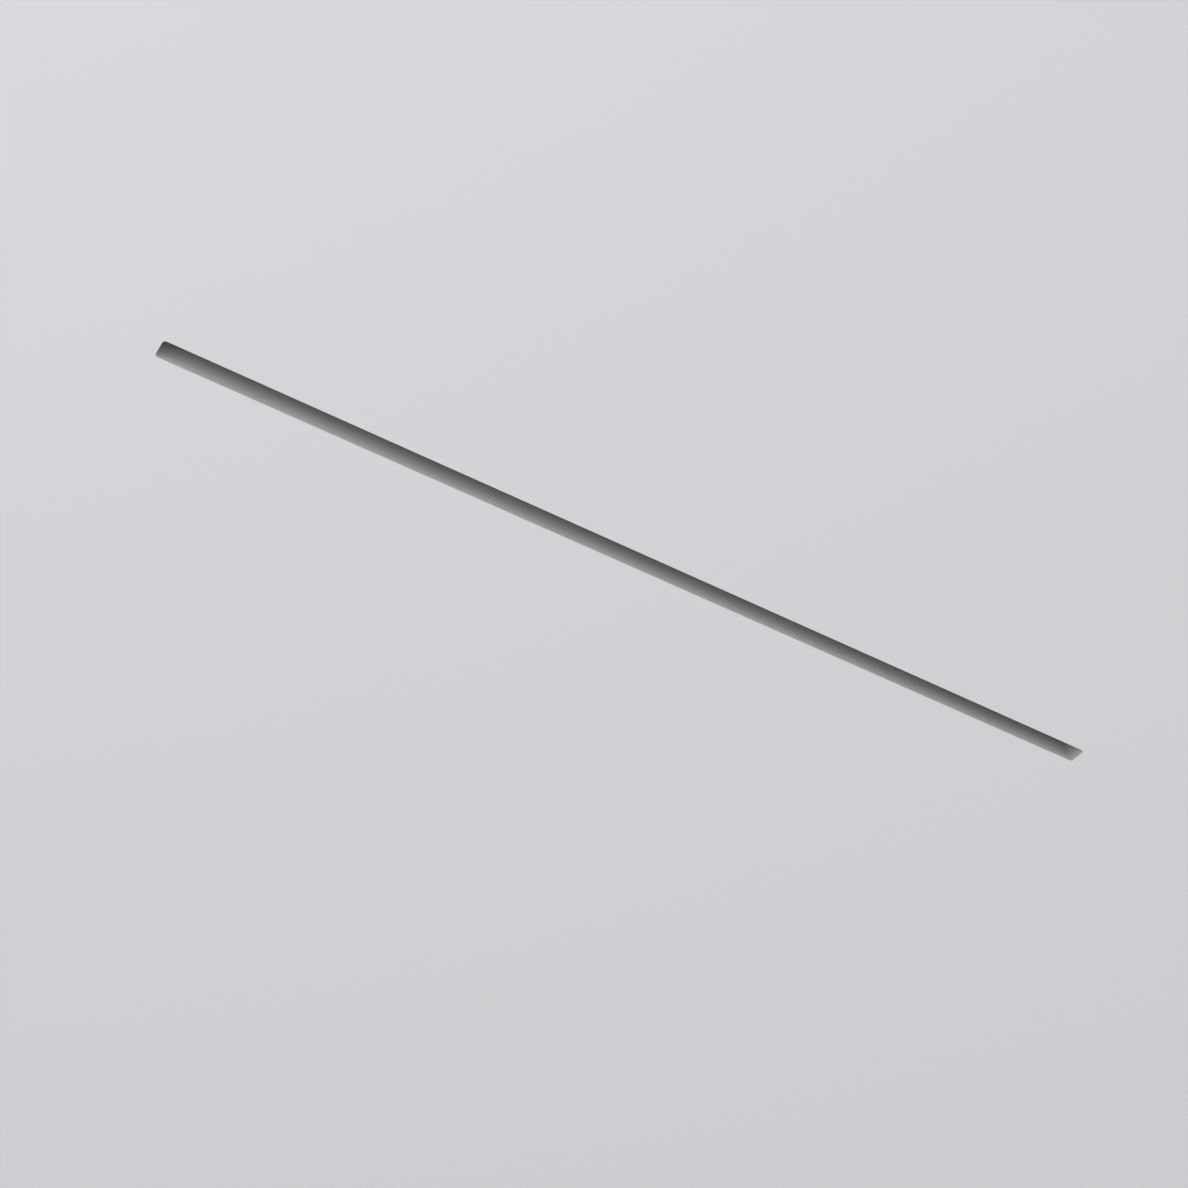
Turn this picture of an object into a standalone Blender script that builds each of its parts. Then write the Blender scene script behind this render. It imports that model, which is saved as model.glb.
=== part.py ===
# Plaster-in linear slot diffuser with its supply plenum.
# Metres, +Z up. The origin is the middle of the open slot in the finished ceiling plane, +X runs along it,
# and everything above z = 0 stands in the ceiling void.

from math import acos, asin, cos, degrees, pi, radians, sin

import bmesh
import bpy
from mathutils import Vector

# Slot and its two extruded side profiles
slot_length = 1.000
slot_width = 0.018
corner_radius = 0.003
throat_height = 0.030
profile_wall = 0.0016
blade_recess = 0.005
neck_flange = 0.0109
keeper_depth = 0.0008
keeper_height = 0.0012
keeper_rise = 0.0028
hook_wall = 0.0012
hook_lap = 0.004

# Screw ports of the profiles, and the screws that hold the end caps
port_bore = 0.00135
port_boss = 0.0028
port_stand_off = 0.8  # distance of the port's centre from its wall, in boss radii
port_slit = 0.0006
lower_port_height = 0.0215
upper_port_height = 0.042
cap_screw_radius = 0.0012
cap_screw_length = 0.016
cap_screw_head = 0.0028
cap_screw_head_height = 0.0018

# Form of every pan head screw, as shares of its own head and shank
screw_crown = 0.6
screw_rim = 0.35
screw_point = 0.35

# Moulded end caps
cap_depth = 0.006
cap_plate = 0.004
cap_ear_reach = 0.0222
cap_ear_step = 0.0005
cap_ear_margin = 0.0045
cap_hook_half = 0.010

# Perforated plaster strips
skim_depth = 0.0027
strip_sheet = 0.001
strip_leg = 0.0113
strip_reach = 0.030
key_hole_radius = 0.003
key_hole_pitch = 0.030

# Air blades, their pins and the moulded carriers
pin_radius = 0.0012
pin_length = 0.030
pin_chamfer = 0.0003
bead_wall = 0.0009
bead_slit = 0.0006
blade_sheet = 0.001
blade_curl = 0.0011
blade_bend = 0.55  # where the curl starts, as a share of the blade's swing
blade_meeting_gap = 0.0005
swing_gap = 0.0022
carrier_thickness = 0.006
carrier_end_gap = 0.002
carrier_headroom = 0.007
carrier_bar = 0.0057
carrier_side_gap = 0.0002

# Folded plenum box, its gasket and screws
plenum_width = 0.120
plenum_height = 0.160
plenum_sheet = 0.001
plenum_slit_lap = 0.001
plenum_upstand = 0.009
swage_depth = 0.002
swage_width = 0.014
swage_slope = 0.003
lower_swage_height = 0.045
upper_swage_drop = 0.065
gasket_thickness = 0.002
gasket_width = 0.004
end_flange = 0.012
neck_screw_count = 4
neck_screw_end = 0.074
neck_screw_radius = 0.0015
neck_screw_head = 0.0032
neck_screw_head_height = 0.0019
neck_screw_length = 0.0115
neck_screw_edge = 0.0035

# Perforated equaliser channel in the plenum
equaliser_height = 0.046
equaliser_sheet = 0.0008
equaliser_slot_length = 0.040
equaliser_slot_width = 0.008
equaliser_slot_pitch = 0.065
equaliser_rows = 4
equaliser_row_pitch = 0.024

# Duct spigot, its lip seal and the butterfly damper
spigot_radius = 0.049
spigot_sheet = 0.0008
spigot_height = 0.075
spigot_flange = 0.009
spigot_bead = 0.0016
spigot_bead_height = 0.052
seal_height = 0.0625
seal_width = 0.007
seal_lip = 0.0024
seal_groove = 0.6  # height of the groove above a lip's tip, in thirds of the seal
damper_height = 0.026
damper_sheet = 0.0015
damper_gap = 0.0017
spindle_radius = 0.004
spindle_chamfer = 0.0006
spindle_tail = 0.005
spindle_reach = 0.023
sleeve_wall = 0.0013
sleeve_end_gap = 0.008
bush_wall = 0.0009
bush_flange = 0.0034
bush_flange_thickness = 0.002
quadrant_offset = 0.012
quadrant_sheet = 0.0015
quadrant_reach = 0.037
quadrant_sweep = 104
quadrant_foot = 0.016
quadrant_heel = 0.014
lever_offset = 0.0025
lever_thickness = 0.003
lever_hub = 0.008
lever_length = 0.042
lever_tip = 0.004
lever_hub_flank = 30
lever_tip_flank = 5
lock_distance = 0.030
lock_bolt_radius = 0.002
lock_slot_margin = 0.0006
lock_head_radius = 0.004
lock_head_height = 0.0025
wing_hub = 0.0043
wing_hub_height = 0.006
wing_hub_taper = 0.8
wing_span = 0.010
wing_height = 0.008
wing_shoulder = 0.55  # height at which a wing reaches its full span, as a share of its own
wing_tip = 0.9  # span at a wing's top, as a share of its full span
wing_sheet = 0.0016

# Hanging lugs for threaded rod
lug_sheet = 0.002
lug_length = 0.034
lug_leg = 0.032
lug_reach = 0.024
lug_slot_length = 0.014
lug_slot_width = 0.007
lug_drop = 0.010
lug_end = 0.104

# Clearances
seam_gap = 0.00005
fit_gap = 0.0003
pin_gap = 0.0001
spindle_gap = 0.00015
running_gap = 0.0005
overlap = 0.001
cut_margin = 0.005

# Facets
round_steps = 32
pin_steps = 12
screw_steps = 8
hole_steps = 8
corner_steps = 6
bead_steps = 6
port_bore_steps = 9
port_boss_steps = 4
quadrant_steps = 9
lock_slot_steps = 10
lever_hub_steps = 10
lever_tip_steps = 5
smooth_angle = 40
weld_distance = 1e-7

# Places worked out from the sizes above
half_slot = slot_width / 2
half_length = slot_length / 2
outer_wall = half_slot + profile_wall
chamber_half = half_slot + blade_recess
chamber_outer = chamber_half + profile_wall
profile_end = half_length - cap_depth - seam_gap
cap_face = half_length + cap_plate

bead_radius = pin_radius + pin_gap + bead_wall
pivot_y = chamber_half - running_gap - bead_radius
blade_swing = pivot_y - blade_meeting_gap
pivot_z = throat_height + swing_gap + blade_swing

carrier_low = throat_height + fit_gap
carrier_bar_low = pivot_z + carrier_headroom
carrier_top = carrier_bar_low + carrier_bar
carrier_half = chamber_half - carrier_side_gap
carrier_end = profile_end - carrier_end_gap
blade_end = carrier_end - carrier_thickness - running_gap
blade_start = carrier_thickness / 2 + running_gap

keeper_low = carrier_top + fit_gap
keeper_high = keeper_low + keeper_height
channel_top = keeper_high + keeper_rise
flange_low = channel_top - profile_wall
flange_edge = chamber_outer + neck_flange

strip_leg_in = outer_wall + fit_gap
strip_leg_out = strip_leg_in + strip_sheet
strip_edge = strip_leg_out + strip_reach
strip_top = skim_depth + strip_sheet
strip_leg_top = skim_depth + strip_leg
hook_in = strip_leg_out + fit_gap
hook_out = hook_in + hook_wall
hook_top = strip_leg_top + fit_gap + hook_wall
end_leg_in = cap_face + fit_gap
end_leg_out = end_leg_in + strip_sheet
end_edge = end_leg_out + strip_reach

gasket_low = channel_top + fit_gap
gasket_top = gasket_low + gasket_thickness
plenum_low = gasket_top + fit_gap
plenum_top = plenum_low + plenum_height
plenum_half = plenum_width / 2
plenum_inside = plenum_half - plenum_sheet
plenum_slit = chamber_half + plenum_slit_lap
neck_screw_y = flange_edge - neck_screw_edge

spigot_low = plenum_top + fit_gap
spigot_inside = spigot_radius - spigot_sheet
spigot_top = spigot_low + spigot_height
damper_z = plenum_top + damper_height
damper_radius = spigot_inside - damper_gap
bush_bore = spindle_radius + spindle_gap
bush_radius = bush_bore + bush_wall
sleeve_bore = spindle_radius + fit_gap
quadrant_x = spigot_radius + quadrant_offset
lever_x = quadrant_x + quadrant_sheet + lever_offset
lever_face = lever_x + lever_thickness
lug_top = plenum_top - lug_drop

near = -1
far = 1
left = -1
right = 1


def clear_scene():
    for old in list(bpy.data.objects):
        bpy.data.objects.remove(old, do_unlink=True)


def material(name, color, roughness, metallic=0.0):
    made = bpy.data.materials.new(name)
    made.use_nodes = True
    shader = made.node_tree.nodes["Principled BSDF"]
    shader.inputs["Base Color"].default_value = (*color, 1.0)
    shader.inputs["Roughness"].default_value = roughness
    shader.inputs["Metallic"].default_value = metallic
    made.diffuse_color = (*color, 1.0)
    return made


def add_object(name, mesh_edit, finish=None, origin=(0, 0, 0)):
    # The mesh is drawn in world places, then moved so that the object's own origin is where it is asked for
    bmesh.ops.remove_doubles(mesh_edit, verts=mesh_edit.verts, dist=weld_distance)
    bmesh.ops.recalc_face_normals(mesh_edit, faces=mesh_edit.faces)
    bmesh.ops.translate(mesh_edit, verts=mesh_edit.verts, vec=-Vector(origin))
    mesh = bpy.data.meshes.new(name)
    mesh_edit.to_mesh(mesh)
    mesh_edit.free()
    made = bpy.data.objects.new(name, mesh)
    made.location = origin
    bpy.context.scene.collection.objects.link(made)
    if finish:
        mesh.materials.append(finish)
    else:
        made.hide_render = True
        made.display_type = "WIRE"
    return made


def shade_round(made):
    made.data.shade_smooth()
    made.data.set_sharp_from_angle(angle=radians(smooth_angle))


def arc(center, radius, start, end, steps):
    # Points on an arc from one angle to another in degrees, both ends included
    turns = [radians(start + (end - start) * i / steps) for i in range(steps + 1)]
    return [(center[0] + radius * cos(a), center[1] + radius * sin(a)) for a in turns]


def circle(center, radius, steps):
    return arc(center, radius, 0, 360 * (steps - 1) / steps, steps - 1)


def obround(center, length, width):
    # A slot along the first axis with round ends
    reach = (length - width) / 2
    half = hole_steps // 2 - 1
    end = arc((center[0] + reach, center[1]), width / 2, -90, 90, half)
    return end + arc((center[0] - reach, center[1]), width / 2, 90, 270, half)


def mirrored(half_outline):
    # Closes an outline drawn for the positive first axis with its mirror image
    return half_outline + [(-a, b) for a, b in reversed(half_outline)]


def sided(outline, side):
    return [(side * a, b) for a, b in outline]


def folded(path, thickness):
    # Outline of a sheet folded along a path, with its thickness to the right of the path
    offset = []
    for i, point in enumerate(path):
        here = Vector(point)
        came = here - Vector(path[i - 1]) if i else Vector(path[1]) - here
        goes = Vector(path[i + 1]) - here if i + 1 < len(path) else came
        first = Vector((came.y, -came.x)).normalized()
        second = Vector((goes.y, -goes.x)).normalized()
        corner = (first + second) / (1 + first.dot(second))
        offset.append(tuple(here + corner * thickness))
    return list(path) + offset[::-1]


def place(along, a, b, depth):
    # Turns an outline's point and a depth into world axes
    return {"X": (depth, a, b), "Y": (a, depth, b), "Z": (a, b, depth)}[along]


def add_prism(mesh_edit, along, outline, low, high):
    corners = [mesh_edit.verts.new(place(along, a, b, low)) for a, b in outline]
    face = mesh_edit.faces.new(corners)
    raised = bmesh.ops.extrude_face_region(mesh_edit, geom=[face])["geom"]
    moved = [item for item in raised if isinstance(item, bmesh.types.BMVert)]
    bmesh.ops.translate(mesh_edit, verts=moved, vec=place(along, 0, 0, high - low))


def prism(name, along, outline, low, high, finish=None, origin=(0, 0, 0)):
    mesh_edit = bmesh.new()
    add_prism(mesh_edit, along, outline, low, high)
    return add_object(name, mesh_edit, finish, origin)


def prisms(name, along, outlines, low, high):
    # One cutter with many separate prisms in it
    mesh_edit = bmesh.new()
    for outline in outlines:
        add_prism(mesh_edit, along, outline, low, high)
    return add_object(name, mesh_edit)


def turned(name, along, outline, center, steps, finish=None, origin=(0, 0, 0), ring=True):
    # Spins an outline of radius and height about an axis through center; a ring's outline closes on itself
    mesh_edit = bmesh.new()
    axis = Vector(place(along, 0, 0, 1))
    out = Vector(place(along, 1, 0, 0))
    corners = [mesh_edit.verts.new(Vector(center) + out * r + axis * h) for r, h in outline]
    pairs = list(zip(corners, corners[1:]))
    if ring:
        pairs.append((corners[-1], corners[0]))
    edges = [mesh_edit.edges.new(pair) for pair in pairs]
    bmesh.ops.spin(
        mesh_edit, geom=corners + edges, cent=center, axis=axis, angle=2 * pi, steps=steps, use_merge=True
    )
    made = add_object(name, mesh_edit, finish, origin)
    shade_round(made)
    return made


def combine(made, other, operation):
    change = made.modifiers.new(other.name, "BOOLEAN")
    change.operation = operation
    change.solver = "EXACT"
    change.object = other


def cut(made, cutter):
    combine(made, cutter, "DIFFERENCE")


def join(made, piece):
    combine(made, piece, "UNION")


def spread(count, pitch):
    # Places of a row of equal steps, centred on zero
    return [(i - (count - 1) / 2) * pitch for i in range(count)]


def port_center(wall):
    return wall + port_stand_off * port_boss


def screw_port(wall, height):
    # C-shaped screw port on the outside of a wall, from its upper end to its lower one
    center = (port_center(wall), height)
    root = degrees(acos((wall - center[0]) / port_boss))
    mouth = degrees(asin(port_slit / port_boss))
    lips = degrees(asin(port_slit / port_bore))
    upper = arc(center, port_boss, root, mouth, port_boss_steps)
    bore = arc(center, port_bore, lips, 360 - lips, port_bore_steps)
    lower = arc(center, port_boss, -mouth, -root, port_boss_steps)
    return upper + bore + lower


def profile_outline():
    inside = [
        (half_slot, 0),
        (half_slot, throat_height),
        (chamber_half, throat_height),
        (chamber_half, keeper_low),
        (chamber_half - keeper_depth, keeper_low),
        (chamber_half - keeper_depth, keeper_high),
        (chamber_half, keeper_high + keeper_depth),
        (chamber_half, channel_top),
    ]
    flange = [(flange_edge, channel_top), (flange_edge, flange_low), (chamber_outer, flange_low)]
    shoulder = [(chamber_outer, throat_height - profile_wall), (outer_wall, throat_height - profile_wall)]
    hook = [
        (outer_wall, hook_top),
        (hook_out, hook_top),
        (hook_out, strip_leg_top - hook_lap),
        (hook_in, strip_leg_top - hook_lap),
        (hook_in, hook_top - hook_wall),
        (outer_wall, hook_top - hook_wall),
        (outer_wall, 0),
    ]
    upper = screw_port(chamber_outer, upper_port_height)
    lower = screw_port(outer_wall, lower_port_height)
    return inside + flange + upper + shoulder + lower + hook


def neck_screw_places():
    span = 2 * (profile_end - neck_screw_end)
    return spread(neck_screw_count, span / (neck_screw_count - 1))


def make_profiles(finish):
    for side, name in ((near, "near"), (far, "far")):
        made = prism(
            f"profile_{name}", "X", sided(profile_outline(), side), -profile_end, profile_end, finish
        )
        holes = [
            circle((x, side * neck_screw_y), neck_screw_radius + fit_gap, screw_steps)
            for x in neck_screw_places()
        ]
        cut(made, prisms(f"profile_{name}_holes", "Z", holes, flange_low - overlap, channel_top + overlap))


def cap_pocket(name, half, low, high, end):
    # The channel's inside carried on into the cap, with rounded upright corners
    start = half_length - cap_depth - cut_margin
    x, y = half_length - corner_radius, half - corner_radius
    outline = [(start, -half)]
    outline += arc((x, -y), corner_radius, -90, 0, corner_steps)
    outline += arc((x, y), corner_radius, 0, 90, corner_steps)
    outline += [(start, half)]
    return prism(name, "Z", [(end * a, b) for a, b in outline], low, high)


def make_cap(end, word, finish):
    block = mirrored(
        [
            (outer_wall, 0),
            (outer_wall, throat_height - profile_wall),
            (chamber_outer, throat_height - profile_wall),
            (chamber_outer, flange_low),
            (flange_edge, flange_low),
            (flange_edge, channel_top),
        ]
    )
    low, high = sorted((end * (half_length - cap_depth), end * cap_face))
    made = prism(f"end_cap_{word}", "X", block, low, high, finish)
    ear_low, ear_top = lower_port_height - cap_ear_margin, upper_port_height + cap_ear_margin
    ears = mirrored([(cap_ear_reach, ear_low), (cap_ear_reach, ear_top)])
    low, high = sorted((end * half_length, end * (cap_face + cap_ear_step)))
    join(made, prism(f"cap_{word}_ears", "X", ears, low, high))
    root = cap_face - overlap
    rib_low = hook_top - hook_wall
    lip_low = strip_leg_top - hook_lap
    lip_in = end_leg_out + fit_gap
    hook = [
        (root, hook_top),
        (lip_in + hook_wall, hook_top),
        (lip_in + hook_wall, lip_low),
        (lip_in, lip_low),
        (lip_in, rib_low),
        (root, rib_low),
    ]
    join(made, prism(f"cap_{word}_hook", "Y", sided(hook, end), -cap_hook_half, cap_hook_half))
    cut(made, cap_pocket(f"cap_{word}_throat", half_slot, -cut_margin, throat_height + overlap, end))
    cut(made, cap_pocket(f"cap_{word}_chamber", chamber_half, throat_height, channel_top + cut_margin, end))
    holes = [
        circle((y, z), cap_screw_radius + fit_gap, screw_steps) for y, z in cap_screw_places()
    ]
    low, high = sorted((end * (half_length - overlap), end * (cap_face + overlap)))
    cut(made, prisms(f"cap_{word}_holes", "X", holes, low, high))


def cap_screw_places():
    upper = (port_center(chamber_outer), upper_port_height)
    lower = (port_center(outer_wall), lower_port_height)
    return [(side * y, z) for side in (near, far) for y, z in (upper, lower)]


def screw_outline(radius, length, head, height):
    # Pan head above zero, shank below it with a blunt point
    return [
        (0, height),
        (head * screw_crown, height),
        (head, height * screw_rim),
        (head, 0),
        (radius, 0),
        (radius, -length + radius),
        (radius * screw_point, -length),
        (0, -length),
    ]


def make_cap_screws(finish):
    outline = screw_outline(cap_screw_radius, cap_screw_length, cap_screw_head, cap_screw_head_height)
    for end, word in ((left, "left"), (right, "right")):
        for number, (y, z) in enumerate(cap_screw_places(), 1):
            seat = cap_face + cap_ear_step + fit_gap
            turned(
                f"cap_screw_{word}_{number}",
                "X",
                [(r, end * h) for r, h in outline],
                (end * seat, y, z),
                screw_steps,
                finish,
                ring=False,
            )


def key_holes(low, high, first, last):
    # Two staggered rows of plaster key holes, a quarter of the way in from each of two edges
    rows = (first + (last - first) / 4, last - (last - first) / 4)
    count = int((high - low) / key_hole_pitch)
    holes = []
    for index, row in enumerate(rows):
        for along in spread(count - index, key_hole_pitch):
            holes.append(circle((along, row), key_hole_radius, hole_steps))
    return holes


def strip_outline(leg_in, leg_out, edge):
    return [
        (leg_in, skim_depth),
        (edge, skim_depth),
        (edge, strip_top),
        (leg_out, strip_top),
        (leg_out, strip_leg_top),
        (leg_in, strip_leg_top),
    ]


def make_plaster_strips(finish):
    low, high = skim_depth - overlap, strip_top + overlap
    for side, name in ((near, "near"), (far, "far")):
        outline = sided(strip_outline(strip_leg_in, strip_leg_out, strip_edge), side)
        made = prism(f"plaster_strip_{name}", "X", outline, -cap_face, cap_face, finish)
        holes = key_holes(-cap_face, cap_face, strip_leg_out, strip_edge)
        holes = [[(a, side * b) for a, b in hole] for hole in holes]
        cut(made, prisms(f"strip_{name}_holes", "Z", holes, low, high))
    for end, name in ((left, "left"), (right, "right")):
        outline = sided(strip_outline(end_leg_in, end_leg_out, end_edge), end)
        made = prism(f"plaster_strip_{name}", "Y", outline, -strip_edge, strip_edge, finish)
        holes = key_holes(-strip_edge, strip_edge, end_leg_out, end_edge)
        holes = [[(end * b, a) for a, b in hole] for hole in holes]
        cut(made, prisms(f"strip_{name}_holes", "Z", holes, low, high))


def blade_outline():
    # Drawn about the pivot: a C-shaped bead that grips the pin, and a tail that curls towards the slot
    slit_out = degrees(asin(bead_slit / bead_radius))
    slit_in = degrees(asin(bead_slit / (pin_radius + pin_gap)))
    tail = degrees(asin(blade_sheet / 2 / bead_radius))
    tip = (blade_swing**2 - blade_curl**2) ** 0.5
    bend_y = -tip * blade_bend
    half = blade_sheet / 2
    outer = arc((0, 0), bead_radius, 90 - slit_out, -90 + tail, bead_steps)
    outer += [(half, bend_y), (-blade_curl + half, -tip)]
    back = [(-blade_curl, -tip), (-half, bend_y)]
    back += arc((0, 0), bead_radius, -90 - tail, -270 + slit_out, bead_steps)
    bore = arc((0, 0), pin_radius + pin_gap, 90 + slit_in, 450 - slit_in, pin_steps - 2)
    return outer + back + bore


def make_blades(finish):
    # Each blade hangs beside the open slot and swings in to close half of it
    for side, name in ((near, "near"), (far, "far")):
        outline = [(side * (pivot_y + a), pivot_z + b) for a, b in blade_outline()]
        for end, word in ((left, "left"), (right, "right")):
            low, high = sorted((end * blade_start, end * blade_end))
            middle = (low + high) / 2
            origin = (middle, side * pivot_y, pivot_z)
            made = prism(f"blade_{name}_{word}", "X", outline, low, high, finish, origin)
            shade_round(made)


def make_pins(finish):
    outline = [
        (0, -pin_length / 2),
        (pin_radius - pin_chamfer, -pin_length / 2),
        (pin_radius, -pin_length / 2 + pin_chamfer),
        (pin_radius, pin_length / 2 - pin_chamfer),
        (pin_radius - pin_chamfer, pin_length / 2),
        (0, pin_length / 2),
    ]
    reach = carrier_end - pin_length / 2
    for side, name in ((near, "near"), (far, "far")):
        for word, x in (("left", -reach), ("middle", 0), ("right", reach)):
            center = (x, side * pivot_y, pivot_z)
            turned(f"blade_pin_{name}_{word}", "X", outline, center, pin_steps, finish, ring=False)


def make_carriers(finish):
    # Inverted U that bridges the channel and holds one pin in each leg
    legs = half_slot + fit_gap
    outline = [
        (legs, carrier_low),
        (carrier_half, carrier_low),
        (carrier_half, carrier_top),
        (-carrier_half, carrier_top),
        (-carrier_half, carrier_low),
        (-legs, carrier_low),
        (-legs, carrier_bar_low - corner_radius),
        (-legs + corner_radius, carrier_bar_low),
        (legs - corner_radius, carrier_bar_low),
        (legs, carrier_bar_low - corner_radius),
    ]
    bores = [circle((side * pivot_y, pivot_z), pin_radius + pin_gap, pin_steps) for side in (near, far)]
    reach = carrier_end - carrier_thickness / 2
    for word, x in (("left", -reach), ("middle", 0), ("right", reach)):
        low, high = x - carrier_thickness / 2, x + carrier_thickness / 2
        made = prism(f"blade_carrier_{word}", "X", outline, low, high, finish)
        cut(made, prisms(f"carrier_{word}_bores", "X", bores, low - overlap, high + overlap))


def make_gasket(finish):
    # Foam frame between the channel's top flange and the plenum
    inner_y = chamber_outer
    outer_y = inner_y + gasket_width
    inner_x = half_length + fit_gap
    outer_x = cap_face - fit_gap
    frame = [(-outer_x, -outer_y), (outer_x, -outer_y), (outer_x, outer_y), (-outer_x, outer_y)]
    window = [(-inner_x, -inner_y), (inner_x, -inner_y), (inner_x, inner_y), (-inner_x, inner_y)]
    made = prism("neck_gasket", "Z", frame, gasket_low, gasket_top, finish)
    cut(made, prism("gasket_window", "Z", window, gasket_low - overlap, gasket_top + overlap))


def swage(height):
    # A pressed groove that stands out of the side wall, from its lower end up
    half = swage_width / 2
    out = plenum_half + swage_depth
    return [
        (plenum_half, height - half),
        (out, height - half + swage_slope),
        (out, height + half - swage_slope),
        (plenum_half, height + half),
    ]


def make_plenum(finish):
    # One sheet folded round from slit to slit, its thickness inwards
    side = [(plenum_slit, plenum_low + plenum_upstand), (plenum_slit, plenum_low)]
    side += [(plenum_half, plenum_low)]
    side += swage(plenum_low + lower_swage_height)
    side += swage(plenum_top - upper_swage_drop)
    side += [(plenum_half, plenum_top)]
    path = [(-a, b) for a, b in side] + side[::-1]
    outline = folded(path, plenum_sheet)
    made = prism("plenum_body", "X", outline, -cap_face, cap_face, finish)
    hole = circle((0, 0), spigot_inside, round_steps)
    low, high = plenum_top - plenum_sheet - overlap, plenum_top + overlap
    cut(made, prism("plenum_spigot_hole", "Z", hole, low, high))
    holes = [
        circle((x, side * neck_screw_y), neck_screw_radius + fit_gap, screw_steps)
        for x in neck_screw_places()
        for side in (near, far)
    ]
    low, high = plenum_low - overlap, plenum_low + plenum_sheet + overlap
    cut(made, prisms("plenum_screw_holes", "Z", holes, low, high))


def make_plenum_ends(finish):
    # Flat closing plates with a flange folded round inside the body's top and sides
    reach = plenum_half + swage_depth + fit_gap
    plate = [(-reach, flange_low), (reach, flange_low), (reach, plenum_top), (-reach, plenum_top)]
    inside = plenum_inside - fit_gap
    low, high = plenum_low + plenum_sheet + fit_gap, plenum_top - plenum_sheet - fit_gap
    path = [(-inside, low), (-inside, high), (inside, high), (inside, low)]
    flange = folded(path, plenum_sheet)
    for end, word in ((left, "left"), (right, "right")):
        face, back = end * (cap_face + fit_gap), end * (cap_face + fit_gap + plenum_sheet)
        made = prism(f"plenum_end_{word}", "X", plate, *sorted((face, back)), finish)
        start, stop = end * (cap_face - end_flange), end * (cap_face + fit_gap + plenum_sheet / 2)
        join(made, prism(f"end_{word}_flange", "X", flange, *sorted((start, stop))))


def make_equaliser(finish):
    # Slotted channel that stands on the plenum's floor and evens the air out along the slot
    half = plenum_inside - fit_gap
    low = plenum_low + plenum_sheet + fit_gap
    top = low + equaliser_height
    reach = cap_face - end_flange - overlap
    outline = folded([(-half, low), (-half, top), (half, top), (half, low)], equaliser_sheet)
    made = prism("equaliser_channel", "X", outline, -reach, reach, finish)
    count = int(2 * reach / equaliser_slot_pitch)
    slots = []
    for row, y in enumerate(spread(equaliser_rows, equaliser_row_pitch)):
        for x in spread(count - row % 2, equaliser_slot_pitch):
            slots.append(obround((x, y), equaliser_slot_length, equaliser_slot_width))
    cut(made, prisms("equaliser_slots", "Z", slots, top - equaliser_sheet - overlap, top + overlap))


def make_neck_screws(finish):
    outline = screw_outline(neck_screw_radius, neck_screw_length, neck_screw_head, neck_screw_head_height)
    outline = [(r, -h) for r, h in outline]
    for side, name in ((near, "near"), (far, "far")):
        for number, x in enumerate(neck_screw_places(), 1):
            center = (x, side * neck_screw_y, flange_low - fit_gap)
            turned(f"neck_screw_{name}_{number}", "Z", outline, center, screw_steps, finish, ring=False)


def make_spigot(finish):
    inside = spigot_inside
    bead = spigot_low + spigot_bead_height
    path = [
        (spigot_radius + spigot_flange, spigot_low),
        (inside, spigot_low),
        (inside, bead - spigot_bead),
        (inside + spigot_bead, bead),
        (inside, bead + spigot_bead),
        (inside, spigot_top),
    ]
    made = turned("spigot", "Z", folded(path, spigot_sheet), (0, 0, 0), round_steps, finish)
    reach = spigot_radius + cut_margin
    hole = circle((0, damper_z), bush_radius + fit_gap, pin_steps)
    cut(made, prism("spigot_spindle_hole", "X", hole, -reach, reach))


def make_seal(finish):
    # Rubber ring with two lips that lean back, worn round the spigot's mouth
    inner = spigot_radius + fit_gap
    low = spigot_low + seal_height
    third = seal_width / 3
    band = third / 2
    outline = [
        (inner, low),
        (inner + seal_lip, low - band),
        (inner + band, low + third),
        (inner + band, low + third * (1 + seal_groove)),
        (inner + seal_lip, low + third),
        (inner + band, low + third * (2 + seal_groove)),
        (inner, low + seal_width),
    ]
    turned("spigot_seal", "Z", outline, (0, 0, 0), round_steps, finish)


def make_bushes(finish):
    flange_in = spigot_radius + fit_gap
    flange_out = flange_in + bush_flange_thickness
    outline = [
        (bush_bore, spigot_inside - overlap),
        (bush_radius, spigot_inside - overlap),
        (bush_radius, flange_in),
        (bush_radius + bush_flange, flange_in),
        (bush_radius + bush_flange, flange_out),
        (bush_bore, flange_out),
    ]
    for end, word in ((left, "left"), (right, "right")):
        turned(
            f"spindle_bush_{word}",
            "X",
            [(r, end * h) for r, h in outline],
            (0, 0, damper_z),
            pin_steps,
            finish,
        )


def make_quadrant(finish):
    # Upright sector with a curved slot for the lock bolt, on a foot that stands on the plenum
    low = plenum_top + fit_gap
    outline = [(-quadrant_heel, low + fit_gap), (quadrant_reach, low + fit_gap)]
    outline += arc((0, damper_z), quadrant_reach, 0, quadrant_sweep, quadrant_steps)
    outline += [(-quadrant_heel, damper_z + quadrant_heel)]
    made = prism("lever_quadrant", "X", outline, quadrant_x, quadrant_x + quadrant_sheet, finish)
    foot = [
        (quadrant_x + fit_gap, -quadrant_heel + fit_gap),
        (quadrant_x + quadrant_foot, -quadrant_heel + fit_gap),
        (quadrant_x + quadrant_foot, quadrant_reach - fit_gap),
        (quadrant_x + fit_gap, quadrant_reach - fit_gap),
    ]
    join(made, prism("quadrant_foot", "Z", foot, low, low + quadrant_sheet))
    half = lock_bolt_radius + lock_slot_margin
    spare = degrees(half / lock_distance)
    slot = arc((0, damper_z), lock_distance + half, -spare, 90 + spare, lock_slot_steps)
    slot += arc((0, damper_z), lock_distance - half, 90 + spare, -spare, lock_slot_steps)
    bore = circle((0, damper_z), spindle_radius + fit_gap, pin_steps)
    low, high = quadrant_x - overlap, quadrant_x + quadrant_sheet + overlap
    cut(made, prisms("quadrant_slot", "X", [slot, bore], low, high))


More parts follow.
